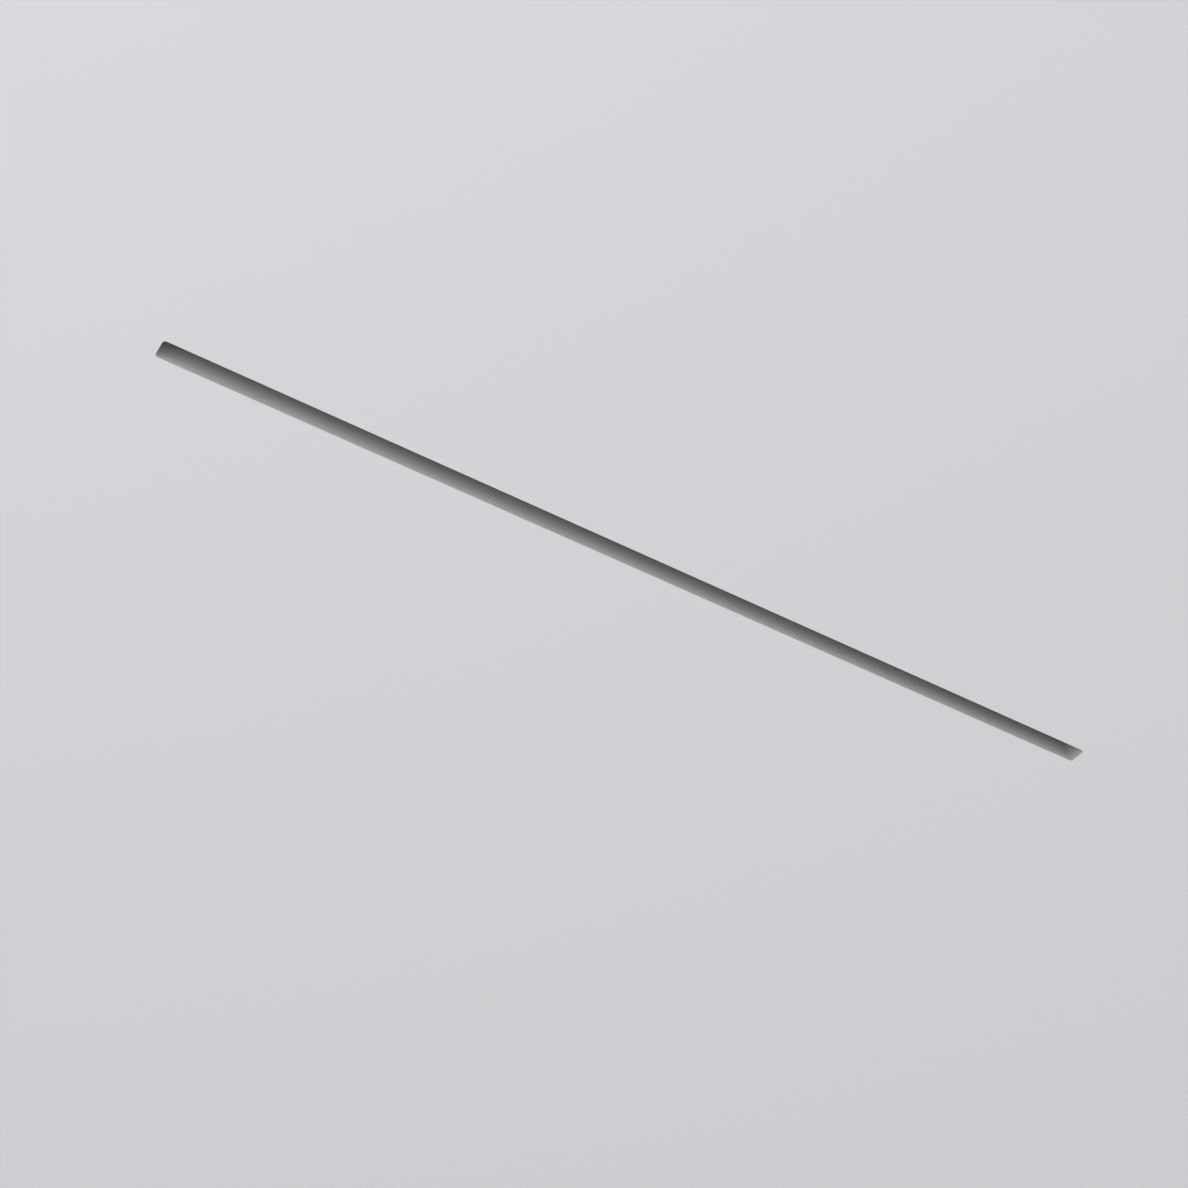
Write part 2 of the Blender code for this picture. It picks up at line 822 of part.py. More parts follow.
def make_damper(blade_finish, steel_finish, lever_finish):
    axis_point = (0, 0, damper_z)
    spindle_axis = bpy.data.objects.new("damper_axis", None)
    spindle_axis.location = axis_point
    bpy.context.scene.collection.objects.link(spindle_axis)

    half = damper_sheet / 2
    disc = [(0, -half), (damper_radius, -half), (damper_radius, half), (0, half)]
    blade = turned(
        "damper_blade", "Y", disc, axis_point, round_steps, blade_finish, axis_point, ring=False
    )
    sleeve = circle((0, damper_z), sleeve_bore + sleeve_wall, pin_steps)
    sleeve_end = damper_radius - sleeve_end_gap
    join(blade, prism("damper_sleeve", "X", sleeve, -sleeve_end, sleeve_end))
    bore = circle((0, damper_z), sleeve_bore, pin_steps)
    reach = damper_radius + cut_margin
    cut(blade, prism("damper_bore", "X", bore, -reach, reach))

    tail, tip = spigot_radius + spindle_tail, spigot_radius + spindle_reach
    rod = [
        (0, -tail),
        (spindle_radius - spindle_chamfer, -tail),
        (spindle_radius, -tail + spindle_chamfer),
        (spindle_radius, tip - spindle_chamfer),
        (spindle_radius - spindle_chamfer, tip),
        (0, tip),
    ]
    spindle = turned(
        "damper_spindle", "X", rod, axis_point, pin_steps, steel_finish, axis_point, ring=False
    )

    # The hub's lower round and the tip's upper one, each a few degrees past or short of its half turn
    tip_center = (0, damper_z + lever_length - lever_tip)
    outline = arc((0, damper_z), lever_hub, 180 - lever_hub_flank, 360 + lever_hub_flank, lever_hub_steps)
    outline += arc(tip_center, lever_tip, lever_tip_flank, 180 - lever_tip_flank, lever_tip_steps)
    lever = prism("damper_lever", "X", outline, lever_x, lever_face, lever_finish, axis_point)
    bolt_z = damper_z + lock_distance
    bores = [
        circle((0, damper_z), spindle_radius + fit_gap, pin_steps),
        circle((0, bolt_z), lock_bolt_radius + fit_gap, screw_steps),
    ]
    cut(lever, prisms("lever_bores", "X", bores, lever_x - overlap, lever_face + overlap))

    head_back = quadrant_x - fit_gap
    nut_low = lever_face + fit_gap
    nut_top = nut_low + wing_hub_height
    bolt = [
        (0, head_back - lock_head_height),
        (lock_head_radius, head_back - lock_head_height),
        (lock_head_radius, head_back),
        (lock_bolt_radius, head_back),
        (lock_bolt_radius, nut_top + overlap),
        (0, nut_top + overlap),
    ]
    lock_bolt = turned(
        "lock_bolt", "X", bolt, (0, 0, bolt_z), screw_steps, steel_finish, axis_point, ring=False
    )
    hub = [
        (lock_bolt_radius + fit_gap, nut_low),
        (wing_hub, nut_low),
        (wing_hub * wing_hub_taper, nut_top),
        (lock_bolt_radius + fit_gap, nut_top),
    ]
    nut = turned("wing_nut", "X", hub, (0, 0, bolt_z), pin_steps, steel_finish, axis_point)
    for side in (near, far):
        root = side * (lock_bolt_radius + wing_hub) / 2
        crown = side * wing_span
        wing = [
            (nut_low + overlap, bolt_z + root),
            (nut_low + wing_height * wing_shoulder, bolt_z + crown),
            (nut_low + wing_height, bolt_z + crown * wing_tip),
            (nut_top - overlap, bolt_z + root),
        ]
        join(nut, prism(f"wing_{side + 1}", "Y", wing, -wing_sheet / 2, wing_sheet / 2))

    for piece in (blade, spindle, lever, lock_bolt, nut):
        world = piece.location.copy()
        piece.parent = spindle_axis
        piece.location = world - spindle_axis.location


def make_lugs(finish):
    # Folded brackets under which the threaded rods' nuts bear
    foot = plenum_half + fit_gap
    for side, name in ((near, "near"), (far, "far")):
        path = [(foot, lug_top - lug_leg), (foot, lug_top), (foot + lug_reach, lug_top)]
        outline = sided(folded(path, lug_sheet), side)
        for end, word in ((left, "left"), (right, "right")):
            x = end * (cap_face - lug_end)
            made = prism(
                f"hanging_lug_{name}_{word}", "X", outline, x - lug_length / 2, x + lug_length / 2, finish
            )
            y = side * (foot + (lug_reach + lug_sheet) / 2)
            slot = obround((x, y), lug_slot_length, lug_slot_width)
            low, high = lug_top - lug_sheet - overlap, lug_top + overlap
            cut(made, prism(f"lug_{name}_{word}_slot", "Z", slot, low, high))


def main():
    clear_scene()
    white_paint = material("white_matt_paint", (0.80, 0.80, 0.79), 0.75)
    white_moulding = material("white_moulding", (0.80, 0.80, 0.79), 0.7)
    bare_aluminium = material("mill_aluminium", (0.72, 0.73, 0.74), 0.38, 1.0)
    black_finish = material("black_anodising", (0.03, 0.03, 0.032), 0.45)
    black_moulding = material("black_moulding", (0.035, 0.035, 0.036), 0.5)
    zinc_steel = material("galvanised_steel", (0.58, 0.60, 0.62), 0.42, 1.0)
    plated_steel = material("zinc_plated_steel", (0.66, 0.66, 0.64), 0.3, 1.0)
    foam = material("closed_cell_foam", (0.02, 0.02, 0.02), 0.9)
    rubber = material("sealing_rubber", (0.02, 0.02, 0.021), 0.6)
    nylon = material("natural_nylon", (0.78, 0.76, 0.70), 0.5)

    make_profiles(white_paint)
    for end, word in ((left, "left"), (right, "right")):
        make_cap(end, word, white_moulding)
    make_cap_screws(plated_steel)
    make_plaster_strips(bare_aluminium)
    make_blades(black_finish)
    make_pins(plated_steel)
    make_carriers(black_moulding)
    make_gasket(foam)
    make_plenum(zinc_steel)
    make_plenum_ends(zinc_steel)
    make_equaliser(zinc_steel)
    make_neck_screws(plated_steel)
    make_spigot(zinc_steel)
    make_seal(rubber)
    make_bushes(nylon)
    make_quadrant(zinc_steel)
    make_damper(zinc_steel, plated_steel, plated_steel)
    make_lugs(zinc_steel)


main()
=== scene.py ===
from math import cos, pi, radians, sin

import bmesh
import bpy
from mathutils import Matrix, Vector


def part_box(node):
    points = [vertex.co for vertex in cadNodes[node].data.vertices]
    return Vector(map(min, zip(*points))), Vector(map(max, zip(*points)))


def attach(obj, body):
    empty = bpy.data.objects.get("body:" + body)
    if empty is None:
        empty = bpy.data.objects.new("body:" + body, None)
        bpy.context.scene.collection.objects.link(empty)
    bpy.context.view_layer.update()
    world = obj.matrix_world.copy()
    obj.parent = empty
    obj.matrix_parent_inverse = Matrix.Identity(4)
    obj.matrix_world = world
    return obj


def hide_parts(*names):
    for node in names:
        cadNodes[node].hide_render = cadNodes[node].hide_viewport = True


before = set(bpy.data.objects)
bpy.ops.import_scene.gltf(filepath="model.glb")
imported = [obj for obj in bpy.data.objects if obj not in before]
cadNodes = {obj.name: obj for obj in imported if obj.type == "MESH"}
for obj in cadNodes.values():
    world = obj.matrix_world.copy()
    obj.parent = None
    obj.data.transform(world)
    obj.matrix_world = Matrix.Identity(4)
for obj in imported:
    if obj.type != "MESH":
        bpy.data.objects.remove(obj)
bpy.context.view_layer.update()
print("frame loaded:", len(cadNodes), "nodes")


# Colour and node helpers

def linearColor(code):
    # sRGB hex to the linear colour that shaders work in
    parts = [int(code[i:i + 2], 16) / 255 for i in (1, 3, 5)]
    return (*[p / 12.92 if p <= 0.04045 else ((p + 0.055) / 1.055) ** 2.4 for p in parts], 1.0)


def addNode(tree, kind, settings=None, values=None, links=None):
    node = tree.nodes.new("ShaderNode" + kind)
    for name, value in (settings or {}).items():
        setattr(node, name, value)
    for name, value in (values or {}).items():
        node.inputs[name].default_value = value
    for name, source in (links or {}).items():
        tree.links.new(source, node.inputs[name])
    return node


def startMaterial(name, values):
    # A new material with its shader's constants, and the link that gives its patterns object coordinates
    made = bpy.data.materials.new(name)
    made.use_nodes = True
    tree = made.node_tree
    shader = tree.nodes["Principled BSDF"]
    for socket, value in values.items():
        shader.inputs[socket].default_value = value
    return made, tree, shader, {"Vector": addNode(tree, "TexCoord").outputs["Object"]}


def twoTones(look):
    return {"Color1": linearColor(look["dark"]), "Color2": linearColor(look["light"])}


def glossRange(look):
    return {"To Min": look["smooth"], "To Max": look["dull"]}


def joinShader(tree, shader, sources):
    for socket, source in sources.items():
        tree.links.new(source, shader.inputs[socket])


def followPattern(tree, shader, look, pattern):
    # Lets one pattern drive what the look gives a range for: two tones, a gloss range and a height
    if "dark" in look:
        tone = addNode(tree, "MixRGB", values=twoTones(look), links={"Fac": pattern})
        joinShader(tree, shader, {"Base Color": tone.outputs["Color"]})
    if "dull" in look:
        gloss = addNode(tree, "MapRange", values=glossRange(look), links={"Value": pattern})
        joinShader(tree, shader, {"Roughness": gloss.outputs["Result"]})
    if "height" in look:
        bump = addNode(tree, "Bump", values={"Distance": look["height"]}, links={"Height": pattern})
        joinShader(tree, shader, {"Normal": bump.outputs["Normal"]})


# Materials, each named for the finish of the real piece

whitePaintLook = {
    "light": "#BFBFC0", "dark": "#B9B9BA", "cloud": 0.08, "roughness": 0.6, "peel": 0.0016,
    "height": 0.000006,
}


def makeWhitePaint():
    # Matt white powder coat: even and chalky, with an orange peel so shallow that only low light shows it
    look = whitePaintLook
    made, tree, shader, place = startMaterial("mattWhitePowderCoat", {"Roughness": look["roughness"]})
    cloud = addNode(tree, "TexNoise", values={"Scale": 1 / look["cloud"], "Detail": 2.0}, links=place)
    tone = addNode(tree, "MixRGB", values=twoTones(look), links={"Fac": cloud.outputs["Fac"]})
    peel = addNode(tree, "TexNoise", values={"Scale": 1 / look["peel"], "Detail": 1.0}, links=place)
    bump = addNode(tree, "Bump", values={"Distance": look["height"]}, links={"Height": peel.outputs["Fac"]})
    joinShader(tree, shader, {"Base Color": tone.outputs["Color"], "Normal": bump.outputs["Normal"]})
    return made


whiteMouldingLook = {"color": "#BCBCBD", "roughness": 0.55, "grain": 0.0004, "height": 0.000008}


def makeWhiteMoulding():
    # Injection-moulded ABS in the paint's white: a fine spark-eroded grain takes the shine off
    look = whiteMouldingLook
    made, tree, shader, place = startMaterial(
        "whiteMouldedABS", {"Roughness": look["roughness"], "Base Color": linearColor(look["color"])})
    grain = addNode(tree, "TexNoise", values={"Scale": 1 / look["grain"], "Detail": 3.0}, links=place)
    followPattern(tree, shader, look, grain.outputs["Fac"])
    return made


galvanisedLook = {
    "light": "#C8CBCD", "dark": "#A6ABAF", "smooth": 0.26, "dull": 0.42, "ragged": 0.003, "tilt": 0.035,
    "featherShare": 0.4, "featherWidth": 0.0009, "featherLength": 0.006, "waveLength": 0.16,
    "waveHeight": 0.0007,
}


def makeGalvanisedSteel(name, shift, spangle):
    # Hot-dip galvanised sheet: cold grey zinc crystals a little under a centimetre wide, each feathered and
    # tilted its own way, on a sheet that is never quite flat, so that reflections swim across the panels
    look = galvanisedLook
    made, tree, shader, place = startMaterial(name, {"Metallic": 1.0})
    place = {"Vector": addNode(tree, "Mapping", values={"Location": shift}, links=place).outputs[0]}
    ragged = addNode(tree, "TexNoise", values={"Scale": 1 / look["ragged"], "Detail": 1.0}, links=place)
    pushed = addNode(tree, "VectorMath", {"operation": "MULTIPLY_ADD"}, {1: (look["ragged"],) * 3},
                     {0: ragged.outputs["Color"], 2: place["Vector"]})
    cells = addNode(tree, "TexVoronoi", values={"Scale": 1 / spangle}, links={"Vector": pushed.outputs[0]})
    split = addNode(tree, "SeparateColor", links={"Color": cells.outputs["Color"]})
    angles = addNode(tree, "VectorMath", {"operation": "SCALE"}, {"Scale": 2 * pi},
                     {0: cells.outputs["Color"]})
    turned = addNode(tree, "VectorRotate", {"rotation_type": "EULER_XYZ"},
                     links={**place, "Rotation": angles.outputs[0]})
    scale = [1 / look[key] for key in ("featherWidth", "featherLength", "featherLength")]
    drawn = addNode(tree, "Mapping", values={"Scale": scale}, links={"Vector": turned.outputs[0]}).outputs[0]
    feather = addNode(tree, "TexNoise", values={"Scale": 1.0, "Detail": 2.0}, links={"Vector": drawn})
    share = addNode(tree, "MixRGB", values={"Fac": look["featherShare"]},
                    links={"Color1": split.outputs["Red"], "Color2": feather.outputs["Fac"]})
    tone = addNode(tree, "MixRGB", values=twoTones(look), links={"Fac": share.outputs["Color"]})
    gloss = addNode(tree, "MapRange", values=glossRange(look), links={"Value": split.outputs["Green"]})
    wave = addNode(tree, "TexNoise", values={"Scale": 1 / look["waveLength"], "Detail": 1.0}, links=place)
    slack = addNode(tree, "Bump", values={"Distance": look["waveHeight"]},
                    links={"Height": wave.outputs["Fac"]})
    lean = addNode(tree, "SeparateXYZ", links={0: turned.outputs[0]})
    facets = addNode(tree, "Bump", values={"Distance": look["tilt"]},
                     links={"Height": lean.outputs["X"], "Normal": slack.outputs["Normal"]})
    joinShader(tree, shader, {"Base Color": tone.outputs["Color"], "Roughness": gloss.outputs["Result"],
                              "Normal": facets.outputs["Normal"]})
    return made


zincPlatedLook = {"light": "#D2D3D0", "dark": "#B4B7B8", "mottle": 0.004, "smooth": 0.22, "dull": 0.38}


def makeZincPlated():
    # Electro-zinc plated steel: brighter and finer than galvanised sheet, with a faint passivation bloom
    look = zincPlatedLook
    made, tree, shader, place = startMaterial("brightZincPlatedSteel", {"Metallic": 1.0})
    mottle = addNode(tree, "TexNoise", values={"Scale": 1 / look["mottle"], "Detail": 3.0}, links=place)
    followPattern(tree, shader, look, mottle.outputs["Fac"])
    return made


millLook = {
    "light": "#D5D6D7", "dark": "#BDBFC1", "smooth": 0.28, "dull": 0.44, "line": 0.0009, "run": 0.06,
    "height": 0.000006,
}


def makeMillAluminium(name, runAxis):
    # Mill-finish aluminium strip: soft rolling lines along its length, no coating
    look = millLook
    made, tree, shader, place = startMaterial(name, {"Metallic": 1.0})
    scale = [1 / look["run" if axis == runAxis else "line"] for axis in range(3)]
    drawn = addNode(tree, "Mapping", values={"Scale": scale}, links=place).outputs[0]
    lines = addNode(tree, "TexNoise", values={"Scale": 1.0, "Detail": 3.0}, links={"Vector": drawn})
    followPattern(tree, shader, look, lines.outputs["Fac"])
    return made


blackAnodisedLook = {
    "color": "#1D1E20", "smooth": 0.34, "dull": 0.48, "line": 0.0007, "run": 0.05, "height": 0.000006,
}


def makeBlackAnodised():
    # Black anodised extrusion: a satin dark skin with the die's fine lines left in it
    look = blackAnodisedLook
    made, tree, shader, place = startMaterial(
        "blackAnodisedAluminium", {"Base Color": linearColor(look["color"])})
    scale = [1 / look[key] for key in ("run", "line", "line")]
    drawn = addNode(tree, "Mapping", values={"Scale": scale}, links=place).outputs[0]
    lines = addNode(tree, "TexNoise", values={"Scale": 1.0, "Detail": 2.0}, links={"Vector": drawn})
    followPattern(tree, shader, look, lines.outputs["Fac"])
    return made


grainedLooks = {
    # Moulded ABS carriers: near black, a fine spark grain
    "blackMouldedABS": {"color": "#222224", "smooth": 0.4, "dull": 0.56, "grain": 0.0005, "height": 0.000012,
                        "extra": {}},
    # EPDM lip seal: dull black rubber with a faint grey bloom
    "epdmRubber": {"color": "#232425", "smooth": 0.54, "dull": 0.7, "grain": 0.0007, "height": 0.00001,
                   "extra": {"Sheen Weight": 0.15, "Sheen Roughness": 0.6}},
    # Natural nylon bushes: milky, lets a little light in
    "naturalNylon": {"color": "#DDD8C9", "smooth": 0.34, "dull": 0.5, "grain": 0.0009, "height": 0.000006,
                     "extra": {"Subsurface Weight": 0.25, "Subsurface Scale": 0.002, "IOR": 1.53}},
}


def makeGrained(name):
    # Soft and moulded things whose surface is one even grain
    look = grainedLooks[name]
    made, tree, shader, place = startMaterial(
        name, {"Base Color": linearColor(look["color"]), **look["extra"]})
    grit = addNode(tree, "TexNoise", values={"Scale": 1 / look["grain"], "Detail": 4.0}, links=place)
    followPattern(tree, shader, look, grit.outputs["Fac"])
    return made


foamLook = {"color": "#2A2A2B", "roughness": 0.92, "pore": 0.0011, "height": 0.00012}


def makeFoam():
    # Closed-cell foam tape: dead matt, its cut edge full of little cells
    look = foamLook
    made, tree, shader, place = startMaterial(
        "closedCellFoam", {"Roughness": look["roughness"], "Base Color": linearColor(look["color"])})
    pores = addNode(tree, "TexVoronoi", values={"Scale": 1 / look["pore"]}, links=place)
    followPattern(tree, shader, look, pores.outputs["Distance"])
    return made


# Each finish, with the material slot that it fills
whitePaint = makeWhitePaint(), "white_paint"
whiteMoulding = makeWhiteMoulding(), "white_paint"
# One finish from four coils, each with its own crystals, so that no pattern runs on from piece to piece
bodySheet = makeGalvanisedSteel("galvanisedSteelBody", (0.0, 0.0, 0.0), 0.0085), "galvanised_steel"
endSheet = makeGalvanisedSteel("galvanisedSteelEnds", (0.31, 0.17, 0.05), 0.0075), "galvanised_steel"
spigotSheet = makeGalvanisedSteel("galvanisedSteelSpigot", (0.11, 0.43, 0.29), 0.007), "galvanised_steel"
bracketSheet = makeGalvanisedSteel("galvanisedSteelBrackets", (0.07, 0.23, 0.61), 0.005), "galvanised_steel"
zincPlated = makeZincPlated(), "zinc_plated_steel"
millAlongX = makeMillAluminium("millAluminiumLong", runAxis=0), "mill_aluminium"
millAlongY = makeMillAluminium("millAluminiumShort", runAxis=1), "mill_aluminium"
blackAnodised = makeBlackAnodised(), "black_anodised"
blackMoulding = makeGrained("blackMouldedABS"), "black_moulding"
sealRubber = makeGrained("epdmRubber"), "sealing_rubber"
nylon = makeGrained("naturalNylon"), "nylon"
print("materials made")


# Shape helpers

weld = 1e-7  # points of a drawn shape this close are one point
looseWeld = 1e-6  # the same for a CAD node's loose triangles and for a field of copies
samePlace = 1e-5  # an edge this close to a place lies on it
flatAngle = radians(0.5)  # faces that meet at less than this are one flat face
overcut = 0.002  # how far a cutting tool reaches past what it cuts


def setAxis(along, a, b, depth):
    # Two coordinates across an axis and one along it, as a world point
    return {"X": (depth, a, b), "Y": (a, depth, b), "Z": (a, b, depth)}[along]


def mergeFlat(edit):
    bmesh.ops.dissolve_limit(edit, angle_limit=flatAngle, verts=edit.verts, edges=edit.edges)


def tidyEdit(edit, flat=False):
    bmesh.ops.remove_doubles(edit, verts=edit.verts, dist=weld)
    if flat:
        mergeFlat(edit)
    bmesh.ops.recalc_face_normals(edit, faces=edit.faces)
    return edit


def meshOf(edit, name):
    mesh = bpy.data.meshes.new(name)
    edit.to_mesh(mesh)
    edit.free()
    return mesh


def linkObject(edit, name):
    made = bpy.data.objects.new(name, meshOf(edit, name))
    bpy.context.scene.collection.objects.link(made)
    return made


def booleanEdit(edit, tool, operation):
    # Joins or cuts two closed shapes and gives the result back for more work
    base, other = linkObject(edit, "base"), linkObject(tool, "tool")
    change = base.modifiers.new("change", "BOOLEAN")
    change.operation = operation
    change.solver = "EXACT"
    change.object = other
    result = bmesh.new()
    result.from_object(base, bpy.context.evaluated_depsgraph_get())
    for used in (base, other):
        mesh = used.data
        bpy.data.objects.remove(used)
        bpy.data.meshes.remove(mesh)
    return tidyEdit(result, flat=True)


def roundOff(edit, geometry, radius, steps, affect="EDGES", clamp=False):
    bmesh.ops.bevel(edit, geom=geometry, offset=radius, segments=steps, profile=0.5, affect=affect,
                    clamp_overlap=clamp, material=-1)


def edgesAt(edit, *places):
    # Edges that lie on every given place, each a pair of axis number and value
    return [e for e in edit.edges
            if all(abs(v.co[axis] - value) < samePlace for v in e.verts for axis, value in places)]


def turnEdit(edit, angle, axis):
    bmesh.ops.rotate(edit, verts=edit.verts, cent=(0, 0, 0), matrix=Matrix.Rotation(angle, 3, axis))


def shiftNew(edit, grown, offset):
    # Moves the points that an extrusion has just made
    moved = [item for item in grown["geom"] if isinstance(item, bmesh.types.BMVert)]
    bmesh.ops.translate(edit, verts=moved, vec=offset)


def pullUp(edit, along, depth):
    # Gives every face thickness along one axis
    shiftNew(edit, bmesh.ops.extrude_face_region(edit, geom=list(edit.faces)), setAxis(along, 0, 0, depth))
    return tidyEdit(edit)


def rectangle(middleA, middleB, halfA, halfB):
    # Corner points in order round it
    return [(middleA + a * halfA, middleB + b * halfB) for a, b in ((-1, -1), (1, -1), (1, 1), (-1, 1))]


def plate(points, along, low, high, rounding=None, steps=8):
    # Flat plate from a few corner points; rounding gives a radius to the corners that need one
    edit = bmesh.new()
    corners = [edit.verts.new(setAxis(along, a, b, low)) for a, b in points]
    edit.faces.new(corners)
    for index, radius in (rounding or {}).items():
        roundOff(edit, [corners[index]], radius, steps, "VERTICES")
    return pullUp(edit, along, high - low)


def rod(center, along, radius, low, high, steps=32):
    # Plain round bar between two places on an axis
    edit = bmesh.new()
    bmesh.ops.create_circle(edit, cap_ends=True, radius=radius, segments=steps)
    turnEdit(edit, *{"X": (pi / 2, "Y"), "Y": (-pi / 2, "X"), "Z": (0.0, "Z")}[along])
    bmesh.ops.translate(edit, verts=edit.verts, vec=setAxis(along, *center, low))
    return pullUp(edit, along, high - low)


def drill(edit, center, along, radius, low, high, steps=32):
    return booleanEdit(edit, rod(center, along, radius, low, high, steps), "DIFFERENCE")


def lathe(outline, center, along, steps, closed=False):
    # Spins radius and height pairs about an axis through center
    edit = bmesh.new()
    out, axis = Vector(setAxis(along, 1, 0, 0)), Vector(setAxis(along, 0, 0, 1))
    corners = [edit.verts.new(Vector(center) + out * r + axis * h) for r, h in outline]
    pairs = list(zip(corners, corners[1:]))
    if closed:
        pairs.append((corners[-1], corners[0]))
    edges = [edit.edges.new(pair) for pair in pairs]
    bmesh.ops.spin(edit, geom=corners + edges, cent=center, axis=axis, angle=2 * pi, steps=steps,
                   use_merge=True)
    return tidyEdit(edit)


def barOutline(radius, low, high, ease):
    # Radius and height pairs of a round bar whose ends are eased
    return [(0, low), (radius - ease, low), (radius, low + ease),
            (radius, high - ease), (radius - ease, high), (0, high)]


def hull(edit):
    # Keeps only the points, so that no old face is left inside the new skin
    bmesh.ops.delete(edit, geom=list(edit.edges) + list(edit.faces), context="EDGES_FACES")
    bmesh.ops.convex_hull(edit, input=edit.verts)
    return tidyEdit(edit, flat=True)


def addCopies(edit, shape, matrices=(Matrix.Identity(4),)):
    # Adds a copy of one small shape to an edit for each matrix
    mesh = meshOf(shape, "copy")
    for matrix in matrices:
        start = len(edit.verts)
        edit.from_mesh(mesh)
        edit.verts.ensure_lookup_table()
        bmesh.ops.transform(edit, matrix=matrix, verts=edit.verts[start:])
    bpy.data.meshes.remove(mesh)
    return edit


def facing(point, direction):
    # Stands a shape drawn along +Z on a point, facing a direction
    return Matrix.Translation(point) @ Vector(direction).to_track_quat("Z", "Y").to_matrix().to_4x4()


def copyNode(name):
    # A CAD node's mesh with its loose triangles merged into clean flat faces
    edit = bmesh.new()
    edit.from_mesh(cadNodes[name].data)
    bmesh.ops.remove_doubles(edit, verts=edit.verts, dist=looseWeld)
    mergeFlat(edit)
    return edit


def markEdges(edit, angle, sawnAt):
    # Marks the corners that are eased, and leaves those of a sawn end sharp so that butt joints close tight
    marks = edit.edges.layers.float.new("bevel_weight_edge")
    for rim in edit.edges:
        if len(rim.link_faces) == 2 and rim.calc_face_angle(0) > radians(angle):
            sawn = all(abs(abs(v.co.x) - sawnAt) < samePlace for v in rim.verts)
            rim.smooth = not sawn
            rim[marks] = 0.0 if sawn else 1.0


def finishPiece(edit, name, finish, body="frame", replaced=(), edge=0.0, angle=40, sawnAt=None):
    # Turns an edit into a piece with eased edges, tied to its body; the CAD nodes it stands for are hidden
    material, slotName = finish
    if sawnAt:
        markEdges(edit, angle, sawnAt)
    piece = linkObject(edit, name)
    piece.data.materials.clear()
    piece.data.materials.append(material)
    piece.data.shade_smooth()
    if edge:
        easing = piece.modifiers.new("easedEdges", "BEVEL")
        easing.width = edge
        easing.segments = 2
        easing.limit_method = "WEIGHT" if sawnAt else "ANGLE"
        easing.angle_limit = radians(angle)
        easing.harden_normals = not sawnAt
        if sawnAt:
            # Long walls keep their own flat shading right up to an end that isn't eased
            evened = piece.modifiers.new("flatWalls", "WEIGHTED_NORMAL")
            evened.weight = 100
            evened.keep_sharp = True
    else:
        piece.data.set_sharp_from_angle(angle=radians(angle))
    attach(piece, body)
    if replaced:
        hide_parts(*replaced)
    return piece


# Slot channel: two painted extrusions closed by moulded end caps

channelLook = {"extrusionEdge": 0.00022, "mouldedEdge": 0.0003}

for side in ("near", "far"):
    node = f"profile_{side}"
    finishPiece(copyNode(node), f"channelProfile.{side}", whitePaint, replaced=[node],
                edge=channelLook["extrusionEdge"], sawnAt=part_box(node)[1].x)
for end in ("left", "right"):
    node = f"end_cap_{end}"
    finishPiece(copyNode(node), f"endCap.{end}", whiteMoulding, replaced=[node],
                edge=channelLook["mouldedEdge"], sawnAt=min(abs(corner.x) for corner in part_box(node)))
print("channel made")


# Perforated plaster strips, folded from thin sheet

stripLook = {
    "sheet": 0.001, "holeRadius": 0.0025, "holeSteps": 16, "rows": 3, "rowHeight": 0.009, "pitch": 0.0101,
    "foldRadius": 0.0009, "foldSteps": 3,
}
strips = {
    # side: turn about Z, finish whose rolling lines run along the strip
    "far": (0, millAlongX), "near": (180, millAlongX), "left": (90, millAlongY), "right": (-90, millAlongY),
}


def perforatedCell(width):
    # One rectangle with a round hole, its outer loop in six so that shifted rows meet corner to middle
    look = stripLook
    cell = bmesh.new()
    bmesh.ops.create_circle(cell, cap_ends=False, radius=look["holeRadius"], segments=look["holeSteps"])
    inner = list(cell.edges)
    loop = [(-1, -1), (0, -1), (1, -1), (1, 1), (0, 1), (-1, 1)]
    corners = [cell.verts.new((a * width / 2, b * look["rowHeight"] / 2, 0)) for a, b in loop]
    outer = [cell.edges.new((corners[i - 1], corners[i])) for i in range(len(corners))]
    bmesh.ops.bridge_loops(cell, edges=outer + inner)
    return cell


def stripSheet(length, reach, legTop):
    # Underside of the strip as a thin surface: a field of holes, plain borders, and the leg folded up behind
    look = stripLook
    tall, legDepth = look["rowHeight"], look["sheet"]
    border = (reach - look["rows"] * tall) / 2
    count = round(length / look["pitch"])
    width = length / count
    edit = bmesh.new()
    places = []
    for row in range(look["rows"]):
        y = border + (row + 0.5) * tall
        shift = row % 2  # every other row is set over by half a hole and ends in plain half cells
        first = -length / 2 + (0.5 + shift / 2) * width
        places += [Matrix.Translation((first + i * width, y, 0)) for i in range(count - shift)]
        for end in (-1, 1) if shift else ():
            corners = [(end * length / 2, y + s * tall / 2) for s in (-1, 1)]
            corners += [(end * (length - width) / 2, y + s * tall / 2) for s in (1, -1)]
            edit.faces.new([edit.verts.new((a, b, 0)) for a, b in corners])
    addCopies(edit, perforatedCell(width), places)
    bmesh.ops.remove_doubles(edit, verts=edit.verts, dist=looseWeld)
    for start, target in ((border, 0.0), (reach - border, reach), (0.0, -legDepth)):
        grown = bmesh.ops.extrude_edge_only(edit, edges=edgesAt(edit, (1, start)))
        shiftNew(edit, grown, (0, target - start, 0))
    shiftNew(edit, bmesh.ops.extrude_edge_only(edit, edges=edgesAt(edit, (1, -legDepth))), (0, 0, legTop))
    roundOff(edit, edgesAt(edit, (1, -legDepth), (2, 0.0)), look["foldRadius"], look["foldSteps"])
    bmesh.ops.recalc_face_normals(edit, faces=edit.faces)
    if max(edit.faces, key=lambda f: abs(f.normal.z)).normal.z > 0:
        bmesh.ops.reverse_faces(edit, faces=edit.faces)
    return edit


